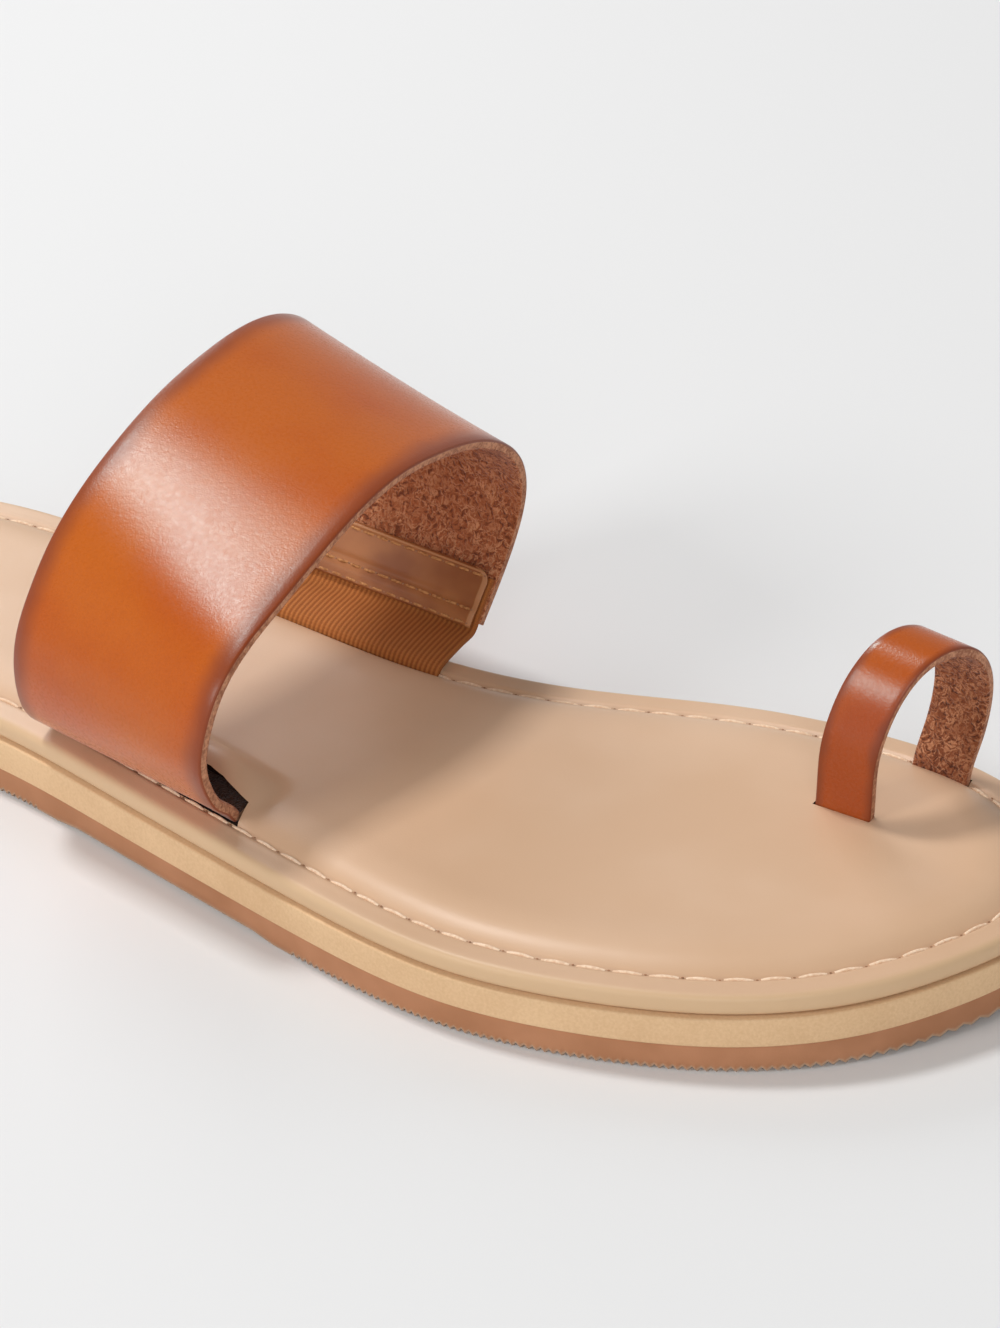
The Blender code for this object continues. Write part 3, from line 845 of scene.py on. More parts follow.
class Workshop:
    """Makes meshes in the layout's frame and hands finished pieces to the model."""

    def __init__(self, form: SoleForm) -> None:
        """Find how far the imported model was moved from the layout."""
        low = form.ring(count=96)[0].min(axis=0)
        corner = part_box("outsole")[0]
        self.shift = Vector((corner.x - low[0], corner.y - low[1], 0.0))
        self.form = form

    def mesh(
        self,
        name: str,
        points: np.ndarray,
        faces: List[Tuple[int, ...]],
        materials: Sequence[bpy.types.Material] = (),
        indices: Optional[Sequence[int]] = None,
        uv: Optional[List[List[Tuple[float, float]]]] = None,
        attributes: Optional[Dict[str, np.ndarray]] = None,
    ) -> bpy.types.Object:
        """Make an object at the origin, with its place in its mesh.

        Args:
            name: Name of the piece.
            points: Corners in the layout's frame.
            faces: Corner numbers of each face.
            materials: Its materials.
            indices: Material number of each face.
            uv: A pair for each corner of each face.
            attributes: A number for each point, by name.

        Returns:
            The object, linked to the scene.
        """
        mesh = bpy.data.meshes.new(name)
        placed = np.asarray(points, float) + np.array(self.shift)
        mesh.from_pydata(placed.tolist(), [], faces)
        for material in materials:
            mesh.materials.append(material)
        if indices is not None:
            mesh.polygons.foreach_set("material_index", list(indices))
        if uv is not None:
            layer = mesh.uv_layers.new(name="lay")
            flat = [value for face in uv for pair in face for value in pair]
            layer.data.foreach_set("uv", flat)
        for key, values in (attributes or {}).items():
            stored = mesh.attributes.new(key, "FLOAT", "POINT")
            stored.data.foreach_set("value", np.asarray(values, np.float32).ravel())
        mesh.shade_smooth()
        mesh.update()
        return linked(name, mesh)

    @staticmethod
    def point_out(item: bpy.types.Object, sharp: float = 0.7) -> None:
        """Merge doubles, turn a closed mesh's faces outward and mark its sharp edges."""
        bm = bmesh.new()
        bm.from_mesh(item.data)
        bmesh.ops.remove_doubles(bm, verts=bm.verts, dist=1e-7)
        bmesh.ops.recalc_face_normals(bm, faces=bm.faces)
        bm.to_mesh(item.data)
        bm.free()
        item.data.shade_smooth()
        item.data.set_sharp_from_angle(angle=sharp)

    @staticmethod
    def settle(item: bpy.types.Object) -> bpy.types.Object:
        """Turn an object's evaluated shape into its plain mesh, without modifiers."""
        bpy.context.view_layer.update()
        graph = bpy.context.evaluated_depsgraph_get()
        mesh = bpy.data.meshes.new_from_object(item.evaluated_get(graph))
        mesh.name = item.name
        item.modifiers.clear()
        item.data = mesh
        return item

    @staticmethod
    def hand_over(item: bpy.types.Object, slot: Slot, *nodes: str) -> bpy.types.Object:
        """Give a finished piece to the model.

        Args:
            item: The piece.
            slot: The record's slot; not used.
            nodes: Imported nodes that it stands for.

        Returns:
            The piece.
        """
        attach(item, BODY)
        if nodes:
            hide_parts(*nodes)
        item.data.calc_loop_triangles()
        LOG.info("%s: %d triangles", item.name, len(item.data.loop_triangles))
        return item


class NodeTree(Graph):
    """A Geometry Nodes tree with named inputs."""

    def __init__(self, name: str, sizes: Dict[str, Any]) -> None:
        """Make the tree with its geometry sockets and its named inputs.

        Args:
            name: The tree's name.
            sizes: Default of each named input: a float, an int or a tuple of three.
        """
        super().__init__(bpy.data.node_groups.new(name, "GeometryNodeTree"))
        face = self.tree.interface
        for way in ("INPUT", "OUTPUT"):
            face.new_socket("Geometry", in_out=way, socket_type="NodeSocketGeometry")
        for key, default in sizes.items():
            socket = face.new_socket(key, in_out="INPUT", socket_type=SOCKETS[type(default)])
            socket.default_value = default
        self.given = self.tree.nodes.new("NodeGroupInput")
        self.result = self.tree.nodes.new("NodeGroupOutput")

    def size(self, name: str) -> Wire:
        """Return a named input's wire inside the tree."""
        return Wire(self, self.given.outputs[name])

    def vector(self, x: Any, y: Any, z: Any) -> Wire:
        """Combine three numbers into a vector."""
        return self.node("ShaderNodeCombineXYZ", inputs={0: x, 1: y, 2: z})

    def stored(self, name: str) -> Wire:
        """Return a number that is stored on the mesh."""
        return self.node("GeometryNodeInputNamedAttribute", {"data_type": "FLOAT"}, {"Name": name})

    def wave(self, place: Wire) -> Wire:
        """Return a wave from -1 to 1 along a place, as long as the input Pitch."""
        turns = place / self.size("Pitch") * (2.0 * math.pi)
        return turns.math("COSINE", turns)

    def moved(self, offset: Wire) -> Wire:
        """Return the given mesh with its points moved by an offset."""
        inputs = {"Geometry": self.size("Geometry"), "Offset": offset}
        return self.node("GeometryNodeSetPosition", inputs=inputs)

    def painted(self, geometry: Wire, material: bpy.types.Material) -> Wire:
        """Return a geometry with its material."""
        inputs = {"Geometry": geometry, "Material": material}
        return self.node("GeometryNodeSetMaterial", inputs=inputs)

    def close(self, geometry: Wire) -> None:
        """End the tree in Realize Instances."""
        real = self.node("GeometryNodeRealizeInstances", inputs={"Geometry": geometry})
        self.feed(self.result.inputs[0], real)

    def run(self, item: bpy.types.Object, values: Dict[str, Any]) -> bpy.types.Object:
        """Run the tree on an object and keep the result as its plain mesh.

        Args:
            item: The object that the tree's geometry comes from.
            values: Values of the named inputs.

        Returns:
            The object.
        """
        modifier = item.modifiers.new(self.tree.name, "NODES")
        modifier.node_group = self.tree
        names = {socket.name: socket.identifier for socket in self.tree.interface.items_tree}
        for key, value in values.items():
            modifier[names[key]] = value
        return Workshop.settle(item)


def grid_faces(rows: int, columns: int, wrap: bool) -> List[Tuple[int, int, int, int]]:
    """List the quads of a grid of points.

    Args:
        rows: How many rows.
        columns: How many points in a row.
        wrap: Whether each row closes on itself.

    Returns:
        Corner numbers of each quad.
    """
    faces = []
    for i in range(rows - 1):
        for j in range(columns if wrap else columns - 1):
            k = (j + 1) % columns
            faces.append((i * columns + j, i * columns + k, (i + 1) * columns + k, (i + 1) * columns + j))
    return faces


class StitchRow:
    """Rows of thread stitches along polylines, made with Geometry Nodes.

    A stitch's ends sink by SINK of the thread's radius, its middle is pulled up to
    BULGE times its rise, and it is turned by up to SWAY radians. HOLE_FORM presses
    the needle holes flat.
    """

    SINK = 0.9
    BULGE = 2.0
    SWAY = 0.05
    HOLE_FORM = (1.2, 1.0, 0.35)

    def __init__(self, shop: Workshop, thread: bpy.types.Material, hole_shade: bpy.types.Material) -> None:
        """Build the tree.

        Args:
            shop: The workshop.
            thread: Material of the thread.
            hole_shade: Material of the needle holes, darker as their painted shade.
        """
        self.shop = shop
        tree = NodeTree(
            "stitch_row",
            {
                "Pitch": 0.006,
                "Length": 0.0045,
                "Thickness": 0.0004,
                "Rise": 0.0003,
                "Hole": 0.0003,
                "Up": (0.0, 0.0, 1.0),
                "Seed": 1,
            },
        )
        half = tree.size("Length") * 0.5
        sunk = tree.size("Thickness") * -self.SINK
        arc = tree.node(
            "GeometryNodeCurveQuadraticBezier",
            inputs={
                "Resolution": 8,
                "Start": tree.vector(half * -1.0, 0.0, sunk),
                "Middle": tree.vector(0.0, 0.0, tree.size("Rise") * self.BULGE),
                "End": tree.vector(half, 0.0, sunk),
            },
        )
        ring = tree.node(
            "GeometryNodeCurvePrimitiveCircle",
            inputs={"Resolution": 8, "Radius": tree.size("Thickness")},
        )
        strand = tree.node(
            "GeometryNodeCurveToMesh",
            inputs={"Curve": arc, "Profile Curve": ring, "Fill Caps": True},
        )
        smooth = tree.node("GeometryNodeSetShadeSmooth", inputs={"Geometry": strand})
        dot = tree.node(
            "GeometryNodeMeshUVSphere",
            inputs={"Segments": 8, "Rings": 4, "Radius": tree.size("Hole")},
        )
        pressed = tree.node(
            "GeometryNodeTransform",
            inputs={
                "Geometry": dot,
                "Translation": tree.vector(tree.size("Pitch") * 0.5, 0.0, 0.0),
                "Scale": self.HOLE_FORM,
            },
        )
        unit = tree.node("GeometryNodeJoinGeometry")
        for part in (tree.painted(smooth, thread), tree.painted(pressed, hole_shade)):
            tree.feed(unit.socket.node.inputs[0], part)
        path = tree.node("GeometryNodeMeshToCurve", inputs={"Mesh": tree.size("Geometry")})
        spots = tree.node(
            "GeometryNodeCurveToPoints",
            {"mode": "LENGTH"},
            {"Curve": path, "Length": tree.size("Pitch")},
        )
        turn = tree.node(
            "FunctionNodeAlignRotationToVector",
            {"axis": "Z"},
            {"Vector": tree.size("Up")},
        )
        turn = tree.node(
            "FunctionNodeAlignRotationToVector",
            {"axis": "X", "pivot_axis": "Z"},
            {"Rotation": turn, "Vector": Wire(tree, spots.socket.node.outputs["Tangent"])},
        )
        sway = tree.node(
            "FunctionNodeRandomValue",
            {"data_type": "FLOAT"},
            {"Min": -self.SWAY, "Max": self.SWAY, "Seed": tree.size("Seed")},
        )
        swing = Wire(tree, next(s for s in sway.socket.node.outputs if s.enabled))
        spin = tree.node(
            "FunctionNodeRotateRotation",
            {"rotation_space": "LOCAL"},
            {0: turn, 1: tree.vector(0.0, 0.0, swing)},
        )
        placed = tree.node(
            "GeometryNodeInstanceOnPoints",
            inputs={"Points": spots, "Instance": unit, "Rotation": spin},
        )
        tree.close(placed)
        self.tree = tree

    def sew(self, name: str, lines: Sequence[np.ndarray], values: Dict[str, Any]) -> bpy.types.Object:
        """Sew stitches along polylines.

        Args:
            name: Name of the piece.
            lines: Points of each polyline in the layout's frame.
            values: The tree's named inputs.

        Returns:
            The row as one plain mesh.
        """
        points = np.concatenate(lines)
        edges = []
        start = 0
        for line in lines:
            edges += [(start + i, start + i + 1) for i in range(len(line) - 1)]
            start += len(line)
        mesh = bpy.data.meshes.new(name)
        mesh.from_pydata((points + np.array(self.shop.shift)).tolist(), edges, [])
        return self.tree.run(linked(name, mesh), values)


@dataclass
class Sole:
    """Outsole and midsole."""

    shop: Workshop
    finishes: Finishes
    chamfer: float = 0.00035
    tooth_pitch: float = 0.00138
    tooth_depth: float = 0.00075
    waist_start: float = 0.33
    waist_end: float = 0.575
    midsole_proud: float = 0.0005
    midsole_round: float = 0.0004
    sink: float = 0.0005
    tread_wall: float = 0.0020
    outline_count: int = 3000
    ring_count: int = 360

    def build(self) -> None:
        """Build both layers."""
        self.build_outsole()
        self.build_midsole()

    def build_outsole(self) -> None:
        """Build the rubber layer as a slab whose underside the tree cuts into teeth."""
        form = self.shop.form
        outline = form.ring(self.outline_count)[0]
        heel = int(outline[:, 0].argmin())
        outline = np.roll(outline, -heel, axis=0)
        toe = int(outline[:, 0].argmax())
        outer = outline[: toe + 1]
        inner = np.concatenate((outline[toe:], outline[:1]))[::-1]
        low = outline[0, 0]
        high = outline[toe, 0]
        step = self.tooth_pitch / 4.0
        stations = np.arange(math.ceil(low / step), math.floor(high / step)) * step
        ends = np.array([0.02, 0.08, 0.18]) * self.tooth_pitch
        stations = np.concatenate((low + ends, stations[2:-1], high - ends[::-1]))
        left = np.interp(stations, outer[:, 0], outer[:, 1])
        right = np.interp(stations, inner[:, 0], inner[:, 1])
        ground = form.ground(stations)
        top = form.toe_lift(stations) + form.outsole
        cut = np.minimum(self.chamfer, 0.2 * (right - left))
        profile = (
            (left + cut, ground, 1.0),
            (left, ground + self.chamfer, 1.0),
            (left, ground + self.tread_wall, 0.0),
            (left, top, 0.0),
            (right, top, 0.0),
            (right, ground + self.tread_wall, 0.0),
            (right, ground + self.chamfer, 1.0),
            (right - cut, ground, 1.0),
        )
        rows = len(stations)
        columns = [np.column_stack((stations, across, level)) for across, level, toothed in profile]
        points = np.stack(columns, axis=1)
        tread = np.tile([toothed for across, level, toothed in profile], rows)
        height = points[:, :, 2] - ground[:, None]
        faces: List[Tuple[int, ...]] = list(grid_faces(rows, len(profile), wrap=True))
        faces.append(tuple(range(len(profile))))
        faces.append(tuple((rows - 1) * len(profile) + j for j in range(len(profile))))
        item = self.shop.mesh(
            "outsole_rubber",
            points.reshape(-1, 3),
            faces,
            [self.finishes.rubber],
            attributes={"tread": tread, "ground": height.ravel()},
        )
        self.shop.point_out(item, sharp=0.9)
        self.tread_tree().run(
            item,
            {
                "Pitch": self.tooth_pitch,
                "Depth": self.tooth_depth,
                "Origin": self.shop.shift.x,
                "Waist Start": self.waist_start * form.length + self.shop.shift.x,
                "Waist End": self.waist_end * form.length + self.shop.shift.x,
            },
        )
        item.data.set_sharp_from_angle(angle=0.9)
        self.shop.hand_over(item, Slot.RUBBER, "outsole")

    def tread_tree(self) -> NodeTree:
        """Build the tree that lifts the underside between the teeth."""
        tree = NodeTree(
            "tread",
            {
                "Pitch": 0.0014,
                "Depth": 0.0007,
                "Origin": 0.0,
                "Waist Start": 0.0,
                "Waist End": 0.0,
            },
        )
        spot = tree.node("GeometryNodeInputPosition")
        x = tree.node("ShaderNodeSeparateXYZ", inputs={0: spot})
        share = tree.wave(x - tree.size("Origin")) * 0.5 + 0.5
        before = x.math("LESS_THAN", x, tree.size("Waist Start"))
        after = x.math("GREATER_THAN", x, tree.size("Waist End"))
        lift = share * (before + after) * tree.size("Depth") * tree.stored("tread")
        tree.close(tree.painted(tree.moved(tree.vector(0.0, 0.0, lift)), self.finishes.rubber))
        return tree

    def build_midsole(self) -> None:
        """Build the foam layer, slightly proud of the rubber."""
        form = self.shop.form
        outline, normals = form.ring(self.ring_count)
        rounding = self.midsole_round
        proud = self.midsole_proud
        quarter = np.linspace(0.0, 0.5 * math.pi, 4)
        rings = []
        for angles, upper in ((quarter, False), (quarter[::-1], True)):
            for angle in angles:
                ring = outline - normals * (rounding * (1.0 - math.sin(angle)) - proud)
                height = rounding * (1.0 - math.cos(angle))
                low = form.midsole_base(ring[:, 0]) - self.sink + height
                high = form.midsole_top(ring[:, 0]) - height
                rings.append(np.column_stack((ring, high if upper else low)))
        item = closed_layer(self.shop, "midsole_foam", rings, [self.finishes.foam])
        self.shop.hand_over(item, Slot.FOAM, "midsole")


def closed_layer(
    shop: Workshop,
    name: str,
    rings: Sequence[np.ndarray],
    materials: Sequence[bpy.types.Material],
    insets: Optional[Sequence[float]] = None,
    crown: int = 0,
) -> bpy.types.Object:
    """Build a closed layer from rings of equal count, the first at the bottom.

    Args:
        shop: The workshop.
        name: Name of the piece.
        rings: Points of each ring.
        materials: Its materials.
        insets: Distance of each ring from the edge, stored as the attribute inset.
        crown: How many rows of quads cross the top between its two halves.

    Returns:
        The object, with its faces outward.
    """
    count = len(rings[0])
    points = np.concatenate(rings).tolist()
    depth = np.repeat(insets if insets is not None else [0.0] * len(rings), count).tolist()
    faces: List[Tuple[int, ...]] = list(grid_faces(len(rings), count, wrap=True))
    top = (len(rings) - 1) * count
    half = count // 2
    for start, rows in ((0, 1), (top, max(crown, 1))):
        columns = []
        for i in range(1, half):
            first = start + i
            last = start + count - i
            column = [first]
            for k in range(1, rows):
                share = k / rows
                mixed = np.array(points[first]) * (1 - share) + np.array(points[last]) * share
                points.append(mixed.tolist())
                depth.append(depth[first])
                column.append(len(points) - 1)
            columns.append(column + [last])
        for left, right in zip(columns, columns[1:]):
            for k in range(rows):
                faces.append((left[k], right[k], right[k + 1], left[k + 1]))
        faces.append(tuple([start] + columns[0]))
        faces.append(tuple([start + half] + columns[-1]))
    attributes = {"inset": np.array(depth)} if insets is not None else None
    item = shop.mesh(name, np.array(points), faces, materials, attributes=attributes)
    shop.point_out(item, sharp=0.9)
    return item


@dataclass
class Footbed:
    """Padded footbed with its slots and its row of stitches."""

    shop: Workshop
    finishes: Finishes
    strap: "InstepStrap"
    loop: "ToeLoop"
    wrap_round: float = 0.0014
    stitch_inset: float = 0.0057
    valley_depth: float = 0.0005
    rim_crown: float = 0.00025
    pad_crown: float = 0.0022
    pad_edge: float = 0.0055
    lip_rise: float = 0.0052
    lip_inset: float = 0.0122
    lip_reach: float = 0.0085
    lip_fall: float = 0.0088
    lip_ramp: float = 0.0123
    lip_beyond: float = 0.0032
    pocket_ratio: float = 0.70
    pocket_taper: float = 1.5
    pocket_stations: int = 16
    stitch_pitch: float = 0.0060
    stitch_share: float = 0.78
    thread_radius: float = 0.00034
    thread_rise: float = 0.00016
    hole_radius: float = 0.00020
    gore_margin: float = 0.001
    pocket_margin: float = 0.0003
    profile_count: int = 76
    seam_count: int = 900
    ring_count: int = 480

    def profile(self) -> np.ndarray:
        """Return the top's profile as rows of inset and height above the footbed's base."""
        edge = self.shop.form.footbed_edge
        turn = self.wrap_round
        start = self.stitch_inset + self.valley_depth
        seam = self.stitch_inset
        flat = edge + self.rim_crown
        crown = self.pad_crown
        corners = [
            (turn, 0.0),
            (0.25 * turn, 0.22 * turn),
            (0.0, turn),
            (0.0, edge - 0.75 * turn),
            (0.12 * turn, edge - 0.3 * turn),
            (0.5 * turn, edge + 0.3 * self.rim_crown),
            (1.2 * turn, flat),
            (seam - 0.0018, flat),
            (seam - 0.0008, edge + 0.6 * self.rim_crown),
            (seam, flat - self.valley_depth),
            (seam + 0.0006, edge + 0.04 * crown),
        ]
        for reach, share in PAD_PROFILE:
            corners.append((start + reach * self.pad_edge, edge + share * crown))
        return smooth_curve(corners, self.profile_count)

    def lip_share(self, station: np.ndarray) -> np.ndarray:
        """Return how far the pad is lifted over the strap's tail, from 0 to 1."""
        rear = self.strap.station(0.0) - self.lip_beyond
        front = self.strap.station(1.0) + self.lip_beyond
        share = np.clip(np.minimum(station - rear, front - station) / self.lip_ramp, 0.0, 1.0)
        return np.sin(0.5 * math.pi * share)

    def lip(self, ring: np.ndarray, inset: float) -> np.ndarray:
        """Return how much the pad rises over the strap's tail."""
        reach = self.lip_reach if inset < self.lip_inset else self.lip_fall
        over = min(abs(inset - self.lip_inset) / reach, 1.0)
        rise = self.lip_rise * (1 - over**2) ** 2 * self.lip_share(ring[:, 0])
        return np.where(ring[:, 1] < 0.0, rise, 0.0)

    def build(self) -> None:
        """Build the footbed and its stitches."""
        form = self.shop.form
        outline, normals = form.ring(self.ring_count)
        profile = self.profile()
        pad_start = self.stitch_inset + self.valley_depth
        rings = []
        for inset, height in profile:
            ring = outline - normals * inset
            level = form.footbed_base(ring[:, 0]) + height
            if inset > pad_start:
                level = level + self.lip(ring, inset)
            rings.append(np.column_stack((ring, level)))
        # The second material is the slots' painted shade, which the cutters' walls take.
        item = closed_layer(
            self.shop,
            "footbed_pad",
            rings,
            [self.finishes.insole, self.finishes.slot_shade],
            insets=profile[:, 0].tolist(),
            crown=24,
        )
        self.cut_slots(item)
        self.shop.hand_over(item, Slot.INSOLE, "footbed")
        self.sew()

    def cutter(self, name: str, corners: Sequence[Sequence[float]]) -> bpy.types.Object:
        """Make a block from its sections of four corners each, one after another."""
        count = len(corners)
        faces: List[Tuple[int, ...]] = list(grid_faces(count // 4, 4, wrap=True))
        faces += [(0, 1, 2, 3), (count - 4, count - 3, count - 2, count - 1)]
        # The block's near-black painted shade passes to the walls that it cuts.
        block = self.shop.mesh(name, np.array(corners), faces, [self.finishes.slot_shade])
        self.shop.point_out(block)
        return block

    def edge_slot(
        self,
        name: str,
        side: Side,
        inset: float,
        across: Tuple[float, float],
        ends: Tuple[float, float],
        floor: float,
        ceilings: Sequence[float],
    ) -> bpy.types.Object:
        """Make the cutter of a straight slot along the sole's edge.

        Args:
            name: Name of the cutter.
            side: Side of the sole.
            inset: Distance of the slot's line from the edge.
            across: Range counted inward from that line.
            ends: Its two ends.
            floor: Its lowest level above the rim.
            ceilings: Its highest levels above the rim, evenly from end to end.

        Returns:
            The cutter.
        """
        form = self.shop.form
        near, far = across
        corners = []
        lines = [form.line_inside(station, side, inset) for station in ends]
        for share, ceiling in zip(np.linspace(0.0, 1.0, len(ceilings)), ceilings):
            station = ends[0] + share * (ends[1] - ends[0])
            line = lines[0] + share * (lines[1] - lines[0])
            base = float(form.rim(station))
            section = ((near, floor), (far, floor), (far, ceiling), (near, ceiling))
            for reach, height in section:
                corners.append((station, line - side.value * reach, base + height))
        return self.cutter(name, corners)

    def cut_slots(self, item: bpy.types.Object) -> None:
        """Cut the strap's pocket, the gore's slot and the toe loop's two slots."""
        strap = self.strap
        loop = self.loop
        form = self.shop.form
        gap = form.seat_gap
        rear = strap.station(0.0)
        front = strap.station(1.0)
        ends = (rear - gap, front + 2 * gap)
        lifted = self.lip_share(np.linspace(*ends, self.pocket_stations)) ** self.pocket_taper
        room = strap.thickness + gap
        pocket = self.edge_slot(
            "pocket",
            Side.OUTER,
            strap.mouth_inset,
            (self.stitch_inset + self.pocket_margin - strap.mouth_inset, strap.tail + gap),
            ends,
            -gap,
            room + self.pocket_ratio * self.lip_rise * lifted,
        )
        half = 0.5 * strap.gore_thickness + gap
        gore = self.edge_slot(
            "gore_slot",
            Side.INNER,
            strap.gore_inset,
            (-half - gap, half),
            (rear + strap.gore_slant - gap, front + strap.gore_slant + 2 * gap),
            -strap.gore_tuck - gap,
            (2 * self.pad_crown, 2 * self.pad_crown),
        )
        cutters = [pocket, gore]
        for leg in (0.0, 1.0):
            station = loop.place_along + leg * loop.slant
            middle = loop.place_across + leg * loop.span + 0.5 * loop.thickness * (1.0 - 2.0 * leg)
            wide = 0.5 * loop.thickness + 0.4 * gap
            long = 0.5 * loop.width + 0.4 * gap
            low = float(form.rim(station)) - loop.tuck - gap
            high = float(form.rim(station)) + 3.0 * self.pad_crown
            section = ((-wide, low), (wide, low), (wide, high), (-wide, high))
            corners = []
            for end in (station - long, station + long):
                corners += [(end, middle + reach, level) for reach, level in section]
            cutters.append(self.cutter("loop_slot_%d" % leg, corners))
        for block in cutters:
            cut = item.modifiers.new(block.name, "BOOLEAN")
            cut.operation = "DIFFERENCE"
            cut.solver = "EXACT"
            cut.object = block
        self.shop.settle(item)
        for block in cutters:
            bpy.data.objects.remove(block, do_unlink=True)
        item.data.set_sharp_from_angle(angle=0.6)

    def sew(self) -> None:
        """Sew the stitches round the rim, apart from where the gore passes."""
        form = self.shop.form
        outline, normals = form.ring(self.seam_count)
        line = outline - normals * self.stitch_inset
        level = form.rim(line[:, 0]) + self.rim_crown - 0.7 * self.valley_depth
        path = np.column_stack((line, level))
        rear = self.strap.station(0.0)
        front = self.strap.station(1.0)
        beside = (path[:, 0] > rear - self.gore_margin) & (path[:, 0] < front + self.gore_margin)
        blocked = (path[:, 1] > 0) & beside
        start = int(np.flatnonzero(blocked & ~np.roll(blocked, -1))[0]) + 1
        path = np.roll(path, -start, axis=0)
        kept = path[~np.roll(blocked, -start)]
        row = StitchRow(self.shop, self.finishes.thread, self.finishes.hole_shade)
        item = row.sew(
            "rim_stitches",
            [kept],
            {
                "Pitch": self.stitch_pitch,
                "Length": self.stitch_share * self.stitch_pitch,
                "Thickness": self.thread_radius,
                "Rise": self.thread_rise,
                "Hole": self.hole_radius,
                "Seed": 4,
            },
        )
        self.shop.hand_over(item, Slot.INSOLE)


@dataclass
class Band:
    """A bent strip of leather between its rear and front edge curves."""

    shop: Workshop
    thickness: float
    columns: int = 20
    rounding: float = 0.0004

    def build(
        self,
        name: str,
        rear: np.ndarray,
        front: np.ndarray,
        materials: Sequence[bpy.types.Material],
    ) -> bpy.types.Object:
        """Build the strip.

        Args:
            name: Name of the piece.
            rear: Points of the rear edge on the outer face.
            front: Points of the front edge, as many.
            materials: Outer face, inner face and cut edges.

        Returns:
            The closed strip, with lengths in metres in its UV map.
        """
        width = float(np.linalg.norm(front - rear, axis=1).mean())
        corner = self.rounding / width
        inside = np.linspace(corner, 1.0 - corner, self.columns)
        shares = np.concatenate(([0.0, 0.3 * corner], inside, [1.0 - 0.3 * corner, 1.0]))
        sunk = np.zeros(len(shares))
        sunk[[0, -1]] = self.rounding
        sunk[[1, -2]] = 0.3 * self.rounding
        travelled = path_lengths(0.5 * (rear + front))
        sheets = np.array([rear * (1.0 - share) + front * share for share in shares])
        faces_out = self.normals(sheets)
        outer = sheets - faces_out * sunk[:, None, None]
        inner = sheets - faces_out * (self.thickness - sunk)[:, None, None]
        loop = np.concatenate((outer, inner[::-1])).transpose(1, 0, 2)
        rows, around = loop.shape[:2]
        across = np.concatenate((shares, shares[::-1])) * width
        last = len(shares) - 1
        faces: List[Tuple[int, ...]] = list(grid_faces(rows, around, wrap=True))
        sides = [j % around for j in range(len(faces))]
        indices = [2 if j in (last, around - 1) else int(j > last) for j in sides]
        for i in (0, rows - 1):
            for j in range(last):
                quad = (j, j + 1, around - 2 - j, around - 1 - j)
                faces.append(tuple(i * around + corner_at for corner_at in quad))
                indices.append(2)
        uv = [[(across[at % around], travelled[at // around]) for at in face] for face in faces]
        places = {"across": np.tile(across, rows)}
        item = self.shop.mesh(name, loop.reshape(-1, 3), faces, materials, indices, uv, places)
        self.shop.point_out(item, sharp=0.9)
        return item

    @staticmethod
    def normals(sheets: np.ndarray) -> np.ndarray:
        """Return unit normals of a sheet of points, pointing away from the foot."""
        along = np.gradient(sheets, axis=1)
        across = sheets[-1] - sheets[0]
        faces_out = np.cross(np.broadcast_to(across, along.shape), along)
        faces_out /= np.linalg.norm(faces_out, axis=2)[:, :, None]
        return faces_out


